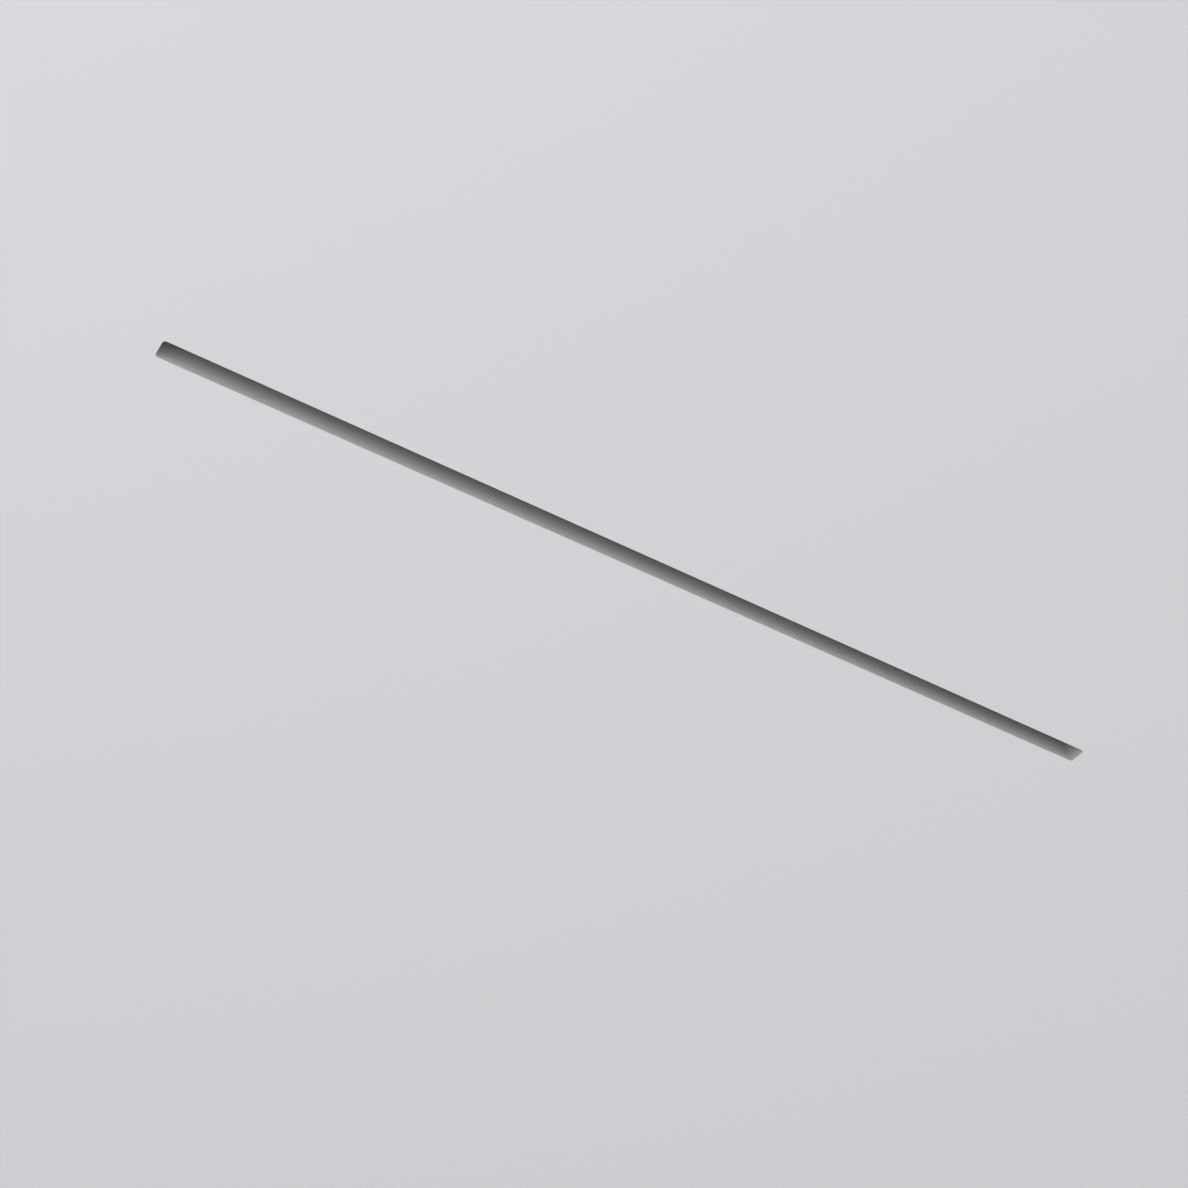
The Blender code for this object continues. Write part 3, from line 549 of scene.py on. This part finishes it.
def makeStrip(side, turn, finish):
    # Drawn on the far side and then turned to its own
    node = f"plaster_strip_{side}"
    low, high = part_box(node)
    along, across = (0, 1) if turn % 180 == 0 else (1, 0)
    inner, outer = sorted((abs(low[across]), abs(high[across])))
    thick = stripLook["sheet"]
    edit = stripSheet(high[along] - low[along], outer - inner - thick, high.z - low.z)
    bmesh.ops.translate(edit, verts=edit.verts, vec=(0, inner + thick, low.z))
    turnEdit(edit, radians(turn), "Z")
    piece = finishPiece(edit, f"plasterStrip.{side}", finish, replaced=[node])
    piece.data.shade_flat()
    sheet = piece.modifiers.new("sheet", "SOLIDIFY")
    sheet.thickness = thick
    sheet.offset = -1


for side, (turn, finish) in strips.items():
    makeStrip(side, turn, finish)
print("plaster strips made")


# Tapping screws with a cross recess and a real helical thread; each stops stopTurn degrees on from the last

capScrewLook = {
    "head": 0.0028, "headHeight": 0.0018, "shank": 0.0012, "length": 0.016, "pitch": 0.0011, "stopTurn": 23,
}
neckScrewLook = {
    "head": 0.0032, "headHeight": 0.0019, "shank": 0.0015, "length": 0.0115, "pitch": 0.0013, "stopTurn": 31,
}
screwShape = {
    "panHead": [(0, 1), (0.5, 0.98), (0.78, 0.86), (0.95, 0.6), (1, 0.3), (1, 0)],  # shares of radius, height
    "recess": (1.15, 0.24, 1.3), "recessFoot": (0.45, 0.7, 1),  # shares of the head, and of the recess's top
    "point": 1.5, "threadStart": 2,  # cores up from the tip
    "threadDepth": 0.00028, "threadRoot": 0.0001, "threadHalf": 0.22,  # half width as a share of the pitch
    "headSteps": 24, "threadSteps": 14,
}


def threadRidge(radius, core, pitch, low, high):
    # A small three-cornered ridge wound round the core
    edit = bmesh.new()
    half, steps = pitch * screwShape["threadHalf"], screwShape["threadSteps"]
    root = core - screwShape["threadRoot"]
    corners = [edit.verts.new(p) for p in ((root, 0, low - half), (radius, 0, low), (root, 0, low + half))]
    face = edit.faces.new(corners)
    turns = int((high - low) / pitch)
    bmesh.ops.spin(edit, geom=[face] + list(face.edges) + corners, cent=(0, 0, 0), axis=(0, 0, 1),
                   dvec=(0, 0, pitch / steps), angle=2 * pi * turns, steps=steps * turns)
    return tidyEdit(edit)


def makeScrew(look):
    # Upright at the origin: pan head above zero, thread below
    head, height, length = look["head"], look["headHeight"], look["length"]
    core = look["shank"] - screwShape["threadDepth"]
    outline = [(head * a, height * b) for a, b in screwShape["panHead"]]
    outline += [(core, 0), (core, -length + core * screwShape["point"]), (0, -length)]
    body = lathe(outline, (0, 0, 0), "Z", screwShape["headSteps"])
    wide, narrow, deep = screwShape["recess"]
    for turn in (0, 90):
        wing = bmesh.new()
        bmesh.ops.create_cube(wing, size=1.0)
        bmesh.ops.scale(wing, verts=wing.verts, vec=(head * wide, head * narrow, height * deep))
        lower = [v for v in wing.verts if v.co.z < 0]
        bmesh.ops.scale(wing, verts=lower, vec=screwShape["recessFoot"])
        bmesh.ops.translate(wing, verts=wing.verts, vec=(0, 0, height))
        turnEdit(wing, radians(turn), "Z")
        body = booleanEdit(body, wing, "DIFFERENCE")
    start = -length + core * screwShape["threadStart"]
    return addCopies(body, threadRidge(look["shank"], core, look["pitch"], start, -look["pitch"]))


def placeScrew(mesh, node, name, turn, seat):
    edit = bmesh.new()
    edit.from_mesh(mesh)
    bmesh.ops.transform(edit, matrix=Matrix.Translation(seat) @ turn, verts=edit.verts)
    finishPiece(edit, name, zincPlated, replaced=[node], angle=35)


capScrewMesh = meshOf(makeScrew(capScrewLook), "capScrew")
neckScrewMesh = meshOf(makeScrew(neckScrewLook), "neckScrew")
for end, sign in (("left", -1), ("right", 1)):
    for number in range(1, 5):
        node = f"cap_screw_{end}_{number}"
        low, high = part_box(node)
        middle = (low + high) / 2
        outer = max(abs(low.x), abs(high.x)) - capScrewLook["headHeight"]
        spin = Matrix.Rotation(radians(capScrewLook["stopTurn"] * number), 4, "X")
        placeScrew(capScrewMesh, node, f"capScrew.{end}{number}",
                   spin @ Matrix.Rotation(sign * pi / 2, 4, "Y"), (sign * outer, middle.y, middle.z))
for side in ("near", "far"):
    for number in range(1, 5):
        node = f"neck_screw_{side}_{number}"
        low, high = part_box(node)
        middle = (low + high) / 2
        spin = Matrix.Rotation(radians(neckScrewLook["stopTurn"] * number), 4, "Z")
        placeScrew(neckScrewMesh, node, f"neckScrew.{side}{number}", spin @ Matrix.Rotation(pi, 4, "X"),
                   (middle.x, middle.y, low.z + neckScrewLook["headHeight"]))
print("screws made")


# Air blades, their pins and carriers inside the channel

bladeLook = {"edge": 0.00012, "carrierEdge": 0.0003, "pinChamfer": 0.0003, "pinSteps": 32}

for side in ("near", "far"):
    for end in ("left", "right"):
        node = f"blade_{side}_{end}"
        finishPiece(copyNode(node), f"airBlade.{side}{end.capitalize()}", blackAnodised,
                    f"{side}_{end}_blade", [node], edge=bladeLook["edge"], angle=50)
    for word in ("left", "middle", "right"):
        node = f"blade_pin_{side}_{word}"
        low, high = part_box(node)
        middle, half, radius = (low + high) / 2, (high.x - low.x) / 2, (high.z - low.z) / 2
        outline = barOutline(radius, -half, half, bladeLook["pinChamfer"])
        finishPiece(lathe(outline, middle, "X", bladeLook["pinSteps"]), f"bladePin.{side}{word.capitalize()}",
                    zincPlated, replaced=[node])
for word in ("left", "middle", "right"):
    node = f"blade_carrier_{word}"
    finishPiece(copyNode(node), f"bladeCarrier.{word}", blackMoulding, replaced=[node],
                edge=bladeLook["carrierEdge"])
print("blades made")


# Plenum box: folded sheet, flanged ends, gasket and equaliser

plenumLook = {
    "bend": 0.002, "innerBend": 0.001, "bendSteps": 4, "endEdge": 0.0004, "equaliserEdge": 0.0002,
    "leastFold": 0.3, "leastAngle": 20, "neckHalf": 0.05,  # what counts as a fold, and where the neck ends
}

body = copyNode("plenum_body")
bodyLow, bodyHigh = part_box("plenum_body")


def bendsOf(edit, outside):
    # Long folds along X: the box's outside corners, or all the others
    folds = [e for e in edit.edges if abs(e.verts[0].co.x - e.verts[1].co.x) > plenumLook["leastFold"]
             and e.calc_face_angle(0) > radians(plenumLook["leastAngle"])]
    corner = [e for e in folds if min(abs(e.verts[0].co.z - z) for z in (bodyLow.z, bodyHigh.z)) < samePlace
              and abs(e.verts[0].co.y) > plenumLook["neckHalf"]]
    return corner if outside else [e for e in folds if e not in corner and len(e.link_faces) == 2]


for outside, radius in ((True, plenumLook["bend"]), (False, plenumLook["innerBend"])):
    roundOff(body, bendsOf(body, outside), radius, plenumLook["bendSteps"], clamp=True)
finishPiece(body, "plenumBody", bodySheet, replaced=["plenum_body"], angle=30)
for end in ("left", "right"):
    finishPiece(copyNode(f"plenum_end_{end}"), f"plenumEnd.{end}", endSheet,
                replaced=[f"plenum_end_{end}"], edge=plenumLook["endEdge"])
finishPiece(copyNode("equaliser_channel"), "equaliserChannel", endSheet,
            replaced=["equaliser_channel"], edge=plenumLook["equaliserEdge"])
cadNodes["neck_gasket"].data.materials.clear()
cadNodes["neck_gasket"].data.materials.append(makeFoam())
print("plenum made")


# Blind rivets that hold the sheet pieces together

rivetLook = {
    "head": 0.0032, "height": 0.0010, "pit": 0.0009, "pitRim": 1.15, "pitFloor": 0.35, "sunk": 0.0003,
    "dome": [(0.55, 0.93), (0.82, 0.65), (0.96, 0.3), (1, 0)], "steps": 20,  # dome: shares of radius, height
}
plenumRivets = {
    "fromEnd": 0.0055, "topY": (-0.042, 0.0, 0.042), "sideY": 0.060, "sideZ": (0.082, 0.1326, 0.192),
}


def makeRivet():
    # Domed head with the snapped pin's pit in the middle, standing on z = 0
    look = rivetLook
    head, height, pit, floor = look["head"], look["height"], look["pit"], look["height"] * look["pitFloor"]
    outline = [(0, floor), (pit, floor), (pit * look["pitRim"], height)]
    outline += [(head * a, height * b) for a, b in look["dome"]]
    outline += [(head / 2, -look["sunk"]), (0, -look["sunk"])]
    return lathe(outline, (0, 0, 0), "Z", look["steps"])


def placeRivets(name, matrices):
    finishPiece(addCopies(bmesh.new(), makeRivet(), matrices), name, zincPlated, angle=35)


for end, sign in (("left", -1), ("right", 1)):
    x, sideY = sign * (bodyHigh.x - plenumRivets["fromEnd"]), plenumRivets["sideY"]
    spots = [facing((x, y, bodyHigh.z), (0, 0, 1)) for y in plenumRivets["topY"]]
    spots += [facing((x, s * sideY, z), (0, s, 0)) for s in (-1, 1) for z in plenumRivets["sideZ"]]
    placeRivets(f"plenumRivets.{end}", spots)


# Duct spigot, its lip seal and bushes

spigotLook = {
    "radius": 0.049, "sheet": 0.0008, "flange": 0.058, "root": 0.0012, "bead": 0.0016, "beadHeight": 0.052,
    "spindleHole": 0.0053, "holeSteps": 24, "steps": 96, "rivets": 6, "rivetRing": 0.0538, "firstRivet": 30,
}
spigotLow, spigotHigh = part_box("spigot")
damperZ = (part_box("damper_spindle")[0].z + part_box("damper_spindle")[1].z) / 2


def makeSpigot():
    # Foot flange, a small root radius, the wall with its rolled bead, and the plain mouth
    look = spigotLook
    outer, inner = look["radius"], look["radius"] - look["sheet"]
    beadZ, flangeTop = spigotLow.z + look["beadHeight"], spigotLow.z + look["sheet"]
    bead, root = look["bead"], look["root"]
    swell = [(bead * cos(radians(a)) ** 2, bead * 1.5 * sin(radians(a))) for a in range(-90, 91, 15)]
    curve = [(root - root * cos(radians(a)), root - root * sin(radians(a))) for a in range(0, 91, 18)]
    outline = [(look["flange"], flangeTop)]
    outline += [(outer + r, flangeTop + h) for r, h in reversed(curve)]
    outline += [(outer + r, beadZ + h) for r, h in swell]
    outline += [(outer, spigotHigh.z), (inner, spigotHigh.z)]
    outline += [(inner + r, beadZ + h) for r, h in reversed(swell)]
    outline += [(inner, spigotLow.z + root), (inner + root * 0.3, spigotLow.z), (look["flange"], spigotLow.z)]
    shell = lathe(outline, (0, 0, 0), "Z", look["steps"], closed=True)
    reach = outer + overcut
    shell = drill(shell, (0, damperZ), "X", look["spindleHole"], -reach, reach, look["holeSteps"])
    finishPiece(shell, "ductSpigot", spigotSheet, replaced=["spigot"], angle=30)
    spots = []
    for number in range(look["rivets"]):
        a = radians(look["firstRivet"] + 360 / look["rivets"] * number)
        spots.append(facing((look["rivetRing"] * cos(a), look["rivetRing"] * sin(a), flangeTop), (0, 0, 1)))
    placeRivets("spigotRivets", spots)


sealLook = {
    "gap": 0.0003, "band": 0.0009, "foot": 0.0009, "lipsFrom": (0.0028, 0.0016), "steps": 96,
    # One lip, out from the band's back and up from the lip's place
    "lip": [(0.0009, -0.0004), (0.0024, -0.0019), (0.0026, -0.0015), (0.00135, 0.0003), (0.0009, 0.0007)],
}


def makeSeal():
    # Rubber band with two thin lips that lean back towards the plenum
    look = sealLook
    low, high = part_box("spigot_seal")
    back = spigotLook["radius"] + look["gap"]
    front, foot = back + look["band"], low.z + look["foot"]
    outline = [(back, foot), (front, foot)]
    for lipZ in (low.z + look["lipsFrom"][0], high.z - look["lipsFrom"][1]):
        outline += [(back + r, lipZ + h) for r, h in look["lip"]]
    outline += [(front, high.z), (back, high.z)]
    finishPiece(lathe(outline, (0, 0, 0), "Z", look["steps"], closed=True), "spigotSeal", sealRubber,
                replaced=["spigot_seal"], angle=50)


bushLook = {
    "bore": 0.00415, "wall": 0.0009, "flange": 0.00845, "flangeSheet": 0.002, "easing": 0.0003, "steps": 40,
}


def makeBush(end, sign):
    look = bushLook
    low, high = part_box(f"spindle_bush_{end}")
    start, stop = sorted((abs(low.x), abs(high.x)))
    seat = stop - look["flangeSheet"]
    bore, outer, flange, ease = look["bore"], look["bore"] + look["wall"], look["flange"], look["easing"]
    outline = [(bore, start), (outer - ease, start), (outer, start + ease), (outer, seat), (flange, seat),
               (flange, stop - ease), (flange - ease, stop), (bore + ease, stop), (bore, stop - ease)]
    finishPiece(lathe([(r, sign * h) for r, h in outline], (0, 0, damperZ), "X", look["steps"], closed=True),
                f"spindleBush.{end}", nylon, replaced=[f"spindle_bush_{end}"])


makeSpigot()
makeSeal()
makeBush("left", -1)
makeBush("right", 1)
print("spigot made")


# Damper blade on its spindle, with lever, lock bolt, wing nut and quadrant

damperBladeLook = {
    "radius": 0.0465, "sheet": 0.0015, "rim": 0.00045, "sleeve": 0.0056, "sleeveHalf": 0.0385,
    "clearance": 0.0003, "steps": 96,
}
spindleLook = {
    "radius": 0.004, "ease": 0.0006, "steps": 40, "grooveHalf": (0.0006, 0.006), "grooveDepth": 0.0012,
}
leverLook = {
    "hub": 0.008, "hubSteps": 48, "tip": 0.004, "boltDistance": 0.030, "spindleGap": 0.0001,
    "boltGap": 0.0002, "edge": 0.0005,
}
lockBoltLook = {
    "radius": 0.002, "threadDepth": 0.0003, "pitch": 0.0007, "plain": 0.002, "tip": 0.0002, "steps": 32,
    "head": [(0, 0), (0.0028, 0.0002), (0.00372, 0.0009), (0.004, 0.0018), (0.004, 0.0025)],  # radius, height
}
wingNutLook = {
    "gap": 0.00025, "steps": 32, "edge": 0.0003,
    "hub": [(0.0043, 0), (0.0043, 0.0012), (0.0036, 0.0057), (0.0033, 0.006)],  # radius, height
    # Underside of a wing as height and distance out, then its tip's two distances and its root on the hub
    "wingUnder": [(0.0008, 0.0031), (0.0022, 0.0082), (0.0052, 0.01)], "wingTip": (0.01, 0.0072),
    "wingRoot": (0.0052, 0.003), "wingRounding": {1: 0.002, 2: 0.0013, 3: 0.0012, 4: 0.0012},
    "wingHalf": 0.0008,
}
quadrantLook = {
    "sheet": 0.0015, "radius": 0.037, "arcEnd": 104, "shoulder": 0.014, "steps": 96, "slotHalf": 0.0026,
    "slotSteps": 32, "bore": 0.0043, "footCorner": 0.004, "rivetInset": 0.008, "rivetShift": 0.0008,
    "edge": 0.0002,
}
spindleLow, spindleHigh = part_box("damper_spindle")
boltZ = damperZ + leverLook["boltDistance"]


def makeDamperBlade():
    look = damperBladeLook
    half = look["sheet"] / 2
    disc = lathe(barOutline(look["radius"], -half, half, look["rim"]), (0, 0, damperZ), "Y", look["steps"])
    sleeve = rod((0, damperZ), "X", look["sleeve"], -look["sleeveHalf"], look["sleeveHalf"])
    disc = booleanEdit(disc, sleeve, "UNION")
    reach = look["radius"] + overcut
    disc = drill(disc, (0, damperZ), "X", spindleLook["radius"] + look["clearance"], -reach, reach)
    finishPiece(disc, "damperBlade", bracketSheet, "damper", ["damper_blade"], angle=35)


def makeSpindle():
    # Turned rod whose tip carries a sawn groove that shows how the blade stands
    look = spindleLook
    outline = barOutline(look["radius"], spindleLow.x, spindleHigh.x, look["ease"])
    bar = lathe(outline, (0, 0, damperZ), "X", look["steps"])
    corners = rectangle(0, damperZ, *look["grooveHalf"])
    groove = plate(corners, "X", spindleHigh.x - look["grooveDepth"], spindleHigh.x + overcut)
    bar = booleanEdit(bar, groove, "DIFFERENCE")
    finishPiece(bar, "damperSpindle", zincPlated, "damper", ["damper_spindle"], angle=35)


def makeLever():
    look = leverLook
    low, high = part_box("damper_lever")
    edit = rod((0, damperZ), "X", look["hub"], low.x, high.x, look["hubSteps"])
    edit = hull(addCopies(edit, rod((0, high.z - look["tip"]), "X", look["tip"], low.x, high.x)))
    for z, radius in ((damperZ, spindleLook["radius"] + look["spindleGap"]),
                      (boltZ, lockBoltLook["radius"] + look["boltGap"])):
        edit = drill(edit, (0, z), "X", radius, low.x - overcut, high.x + overcut)
    finishPiece(edit, "damperLever", zincPlated, "damper", ["damper_lever"],
                edge=look["edge"], angle=45)


def makeLockBolt():
    look = lockBoltLook
    low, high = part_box("lock_bolt")
    radius, core, pitch = look["radius"], look["radius"] - look["threadDepth"], look["pitch"]
    outline = [(r, low.x + h) for r, h in look["head"]]
    seat = outline[-1][1]
    outline.append((radius, seat))
    start = seat + look["plain"]
    for turn in range(int((high.x - start - 2 * look["tip"]) / pitch)):
        outline += [(core, start + turn * pitch), (radius, start + (turn + 0.5) * pitch)]
    outline += [(core, high.x - look["tip"]), (0, high.x)]
    finishPiece(lathe(outline, (0, 0, boltZ), "X", look["steps"]), "lockBolt", zincPlated,
                "damper", ["lock_bolt"], angle=28)


def makeWingNut():
    # Conical hub with two rounded wings that sweep outwards
    look = wingNutLook
    low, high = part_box("wing_nut")
    bore = lockBoltLook["radius"] + look["gap"]
    outline = [(r, low.x + h) for r, h in look["hub"]]
    outline = [(bore, low.x)] + outline + [(bore, outline[-1][1])]
    hub = lathe(outline, (0, 0, boltZ), "X", look["steps"], closed=True)
    points = [(low.x + h, out) for h, out in look["wingUnder"]] + [(high.x, out) for out in look["wingTip"]]
    points.append((low.x + look["wingRoot"][0], look["wingRoot"][1]))
    for side in (-1, 1):
        corners = [(x, boltZ + side * out) for x, out in points]
        wing = plate(corners, "Y", -look["wingHalf"], look["wingHalf"], look["wingRounding"])
        hub = booleanEdit(hub, wing, "UNION")
    finishPiece(hub, "wingNut", zincPlated, "damper", ["wing_nut"], edge=look["edge"], angle=35)


def makeQuadrant():
    # Sector plate with a curved slot, folded over at the foot
    look = quadrantLook
    low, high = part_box("lever_quadrant")
    sheet, radius, reach, half = look["sheet"], look["radius"], leverLook["boltDistance"], look["slotHalf"]
    sector = rod((0, damperZ), "X", radius, low.x, low.x + sheet, look["steps"])
    least = radius * cos(radians(look["arcEnd"])) - samePlace
    extra = [v for v in sector.verts if v.co.z < damperZ - samePlace or v.co.y < least]
    bmesh.ops.delete(sector, geom=extra, context="VERTS")
    for x in (low.x, low.x + sheet):
        for y, z in ((low.y, low.z), (high.y, low.z), (low.y, damperZ + look["shoulder"])):
            sector.verts.new((x, y, z))
    sector = hull(sector)
    corners = [(low.x, low.y), (high.x, low.y), (high.x, high.y), (low.x, high.y)]
    rounding = {index: look["footCorner"] for index in (1, 2)}
    foot = plate(corners, "Z", low.z, low.z + sheet, rounding)
    sector = booleanEdit(sector, foot, "UNION")
    back, front = low.x - overcut, low.x + sheet + overcut
    band = bmesh.new()
    corners = ((back, reach - half), (front, reach - half), (front, reach + half), (back, reach + half))
    ring = [band.verts.new((x, y, damperZ)) for x, y in corners]
    face = band.faces.new(ring)
    bmesh.ops.spin(band, geom=[face] + list(face.edges) + ring, cent=(0, 0, damperZ), axis=(1, 0, 0),
                   angle=pi / 2, steps=look["slotSteps"])
    sector = booleanEdit(sector, tidyEdit(band), "DIFFERENCE")
    for y, z, size in ((reach, damperZ, half), (0, damperZ + reach, half), (0, damperZ, look["bore"])):
        sector = drill(sector, (y, z), "X", size, back, front)
    finishPiece(sector, "leverQuadrant", bracketSheet, replaced=["lever_quadrant"],
                edge=look["edge"])
    x = (low.x + sheet + high.x) / 2 + look["rivetShift"]
    places = (low.y + look["rivetInset"], high.y - look["rivetInset"])
    placeRivets("quadrantRivets", [facing((x, y, low.z + sheet), (0, 0, 1)) for y in places])


makeDamperBlade()
makeSpindle()
makeLever()
makeLockBolt()
makeWingNut()
makeQuadrant()
print("damper made")


# Hanging lugs: folded from 2 mm strip, slotted for threaded rod

lugLook = {
    "sheet": 0.002, "slot": (0.014, 0.007), "bend": 0.003, "corner": 0.005, "steps": 6, "edge": 0.0003,
    "rivetHeight": 0.012, "rivetHalf": 0.009,
}


def makeLug(side, end):
    # Gives back the places of its rivets
    look = lugLook
    node = f"hanging_lug_{side}_{end}"
    low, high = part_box(node)
    sign = 1 if side == "far" else -1
    root, tip = sorted((abs(low.y), abs(high.y)))
    sheet = look["sheet"]
    back, under = root + sheet, high.z - sheet
    outline = [(root, low.z), (back, low.z), (back, under), (tip, under), (tip, high.z), (root, high.z)]
    edit = plate([(sign * y, z) for y, z in outline], "X", low.x, high.x)
    for y, z, radius in ((root, high.z, look["bend"]), (back, under, look["bend"] - sheet)):
        roundOff(edit, edgesAt(edit, (1, sign * y), (2, z)), radius, look["steps"])
    corners = [e for place in ((1, sign * tip), (2, low.z)) for e in edgesAt(edit, place)
               if e.calc_length() < 2 * sheet]
    roundOff(edit, corners, look["corner"], look["steps"])
    middleX, middleY = (low.x + high.x) / 2, sign * (back + tip) / 2
    length, width = look["slot"]
    half = (length - width) / 2
    for x in (middleX - half, middleX + half):
        edit = drill(edit, (x, middleY), "Z", width / 2, under - overcut, high.z + overcut)
    bar = plate(rectangle(middleX, middleY, half, width / 2), "Z", under - overcut, high.z + overcut)
    edit = booleanEdit(edit, bar, "DIFFERENCE")
    finishPiece(edit, f"hangingLug.{side}{end.capitalize()}", bracketSheet, replaced=[node],
                edge=look["edge"])
    rivetX = (middleX - look["rivetHalf"], middleX + look["rivetHalf"])
    return [facing((x, sign * back, low.z + look["rivetHeight"]), (0, sign, 0)) for x in rivetX]


for side in ("near", "far"):
    for end in ("left", "right"):
        placeRivets(f"lugRivets.{side}{end.capitalize()}", makeLug(side, end))
print("lugs made")


# Stage: one wide painted ceiling whose skim coat runs over the lips up to the slot's edge;
# seen from above it is a pale floor that fades into the backdrop

stageLook = {
    "color": "#DADBDD", "roughness": 0.9, "specular": 0.2, "stipple": 0.0022, "height": 0.00003,
    "slot": (0.5, 0.009, 0.003), "outside": (40.0, 40.0, 1.0),  # half length, half width, corner radius
    "cornerSteps": 12, "skim": 0.0002, "backdrop": "#D6D7D9", "fadeFrom": 2.4, "fadeTo": 7.0,
}


def seenDirectly(tree):
    # One for what the camera, a reflection or a clear material shows, and nothing for what lights the object
    path = addNode(tree, "LightPath")
    seen = addNode(tree, "Math", {"operation": "MAXIMUM"},
                   links={0: path.outputs["Is Camera Ray"], 1: path.outputs["Is Glossy Ray"]})
    return addNode(tree, "Math", {"operation": "MAXIMUM"},
                   links={0: seen.outputs[0], 1: path.outputs["Is Transmission Ray"]}).outputs[0]


def makeStage():
    look = stageLook
    edit = bmesh.new()
    rings = []
    for x, y, corner in (look["slot"], look["outside"]):
        ring = [edit.verts.new((a, b, -look["skim"])) for a, b in rectangle(0, 0, x, y)]
        edit.faces.new(ring)
        roundOff(edit, ring, corner, look["cornerSteps"], "VERTICES")
        face = next(iter(edit.faces))  # only its loop of edges is kept
        rings += list(face.edges)
        bmesh.ops.delete(edit, geom=[face], context="FACES_ONLY")
    bmesh.ops.bridge_loops(edit, edges=rings)
    piece = linkObject(tidyEdit(edit), "ceiling")
    made, tree, shader, place = startMaterial("rolledCeilingPaint", {
        "Base Color": linearColor(look["color"]), "Roughness": look["roughness"],
        "Specular IOR Level": look["specular"]})
    stipple = addNode(tree, "TexNoise", values={"Scale": 1 / look["stipple"], "Detail": 2.0}, links=place)
    followPattern(tree, shader, look, stipple.outputs["Fac"])
    away = addNode(tree, "VectorMath", {"operation": "LENGTH"}, links={0: place["Vector"]})
    fade = addNode(tree, "MapRange", {"interpolation_type": "SMOOTHSTEP"},
                   {"From Min": look["fadeFrom"], "From Max": look["fadeTo"]},
                   {"Value": away.outputs["Value"]})
    shown = addNode(tree, "Math", {"operation": "MULTIPLY"},
                    links={0: fade.outputs["Result"], 1: seenDirectly(tree)})
    glow = addNode(tree, "Emission", values={"Color": linearColor(look["backdrop"]), "Strength": 1.0})
    mixed = addNode(tree, "MixShader", links={0: shown.outputs[0], 1: shader.outputs[0], 2: glow.outputs[0]})
    output = next(n for n in tree.nodes if n.type == "OUTPUT_MATERIAL")
    joinShader(tree, output, {"Surface": mixed.outputs[0]})
    piece.data.materials.append(made)


makeStage()


# Soft light on both sides of the ceiling: a room below that is brighter at its walls than at its floor, and
# an even studio above

lightLook = {
    "tint": "#FDFDFE", "roomFloor": 0.52, "roomWalls": 1.46, "studio": 0.84, "horizon": 0.02, "zenith": 2.0,
}
lamps = {
    # name: place, target, size, power
    "roomWindow": ((-2.2, -1.4, -1.3), (-0.6, 0.0, 0.0), 1.6, 18.0),
    "studioKey": ((-1.8, -2.2, 2.4), (0.0, 0.0, 0.1), 2.0, 20.0),
    "studioFill": ((2.4, -1.4, 1.6), (0.0, 0.0, 0.1), 1.8, 9.0),
    "studioBack": ((0.8, 2.6, 2.0), (0.0, 0.0, 0.1), 2.0, 14.0),
}


def makeLights():
    look = lightLook
    world = bpy.data.worlds.new("studio")
    bpy.context.scene.world = world
    world.use_nodes = True
    tree = world.node_tree
    tree.nodes.clear()
    way = addNode(tree, "SeparateXYZ", links={0: addNode(tree, "TexCoord").outputs["Generated"]})
    room = addNode(tree, "MapRange", values={"From Min": -1.0, "From Max": 0.0, "To Min": look["roomFloor"],
                                             "To Max": look["roomWalls"]}, links={"Value": way.outputs["Z"]})
    above = addNode(tree, "Math", {"operation": "GREATER_THAN"}, {1: 0.0}, {0: way.outputs["Z"]})
    level = addNode(tree, "Mix", values={3: look["studio"]},
                    links={0: above.outputs[0], 2: room.outputs["Result"]})
    light = addNode(tree, "Background", values={"Color": linearColor(look["tint"])},
                    links={"Strength": level.outputs[0]})
    sky = addNode(tree, "MapRange", values={"From Min": look["horizon"], "From Max": 1.0, "To Min": 1.0,
                                            "To Max": look["zenith"]}, links={"Value": way.outputs["Z"]})
    backdrop = addNode(tree, "Background", values={"Color": linearColor(stageLook["backdrop"])},
                       links={"Strength": sky.outputs["Result"]})
    mixed = addNode(tree, "MixShader",
                    links={0: seenDirectly(tree), 1: light.outputs[0], 2: backdrop.outputs[0]})
    joinShader(tree, addNode(tree, "OutputWorld"), {"Surface": mixed.outputs[0]})
    for name, (place, target, size, power) in lamps.items():
        data = bpy.data.lights.new(name, "AREA")
        data.shape = "SQUARE"
        data.size = size
        data.energy = power
        lamp = bpy.data.objects.new(name, data)
        bpy.context.scene.collection.objects.link(lamp)
        lamp.location = place
        lamp.rotation_euler = (Vector(target) - Vector(place)).to_track_quat("-Z", "Y").to_euler()


makeLights()


# Camera where the photograph was taken from, below the ceiling and looking up along the slot

cameraLook = {
    "place": (-0.76442709, -0.93051192, -1.24862855), "pitch": 45.72442, "heading": 35.95968,
    "roll": -4.14597, "lens": 57.9637, "sensor": 36.0, "clip": (0.02, 200.0),
}


def makeCamera():
    look = cameraLook
    pitch, heading, roll = (radians(look[k]) for k in ("pitch", "heading", "roll"))
    ahead = Vector((sin(heading), cos(heading), 0)) * cos(pitch) + Vector((0, 0, sin(pitch)))
    right = ahead.cross(Vector((0, 0, 1))).normalized()
    up = right.cross(ahead)
    across, upright = right * cos(roll) + up * sin(roll), up * cos(roll) - right * sin(roll)
    data = bpy.data.cameras.new("photoCamera")
    data.lens = look["lens"]
    data.sensor_width = look["sensor"]
    data.clip_start, data.clip_end = look["clip"]
    camera = bpy.data.objects.new("photoCamera", data)
    bpy.context.scene.collection.objects.link(camera)
    turn = Matrix((across, upright, -ahead)).transposed()
    camera.matrix_world = Matrix.Translation(look["place"]) @ turn.to_4x4()
    bpy.context.scene.camera = camera


makeCamera()
bpy.context.scene.view_settings.view_transform = "Standard"
print("stage, light and camera made")
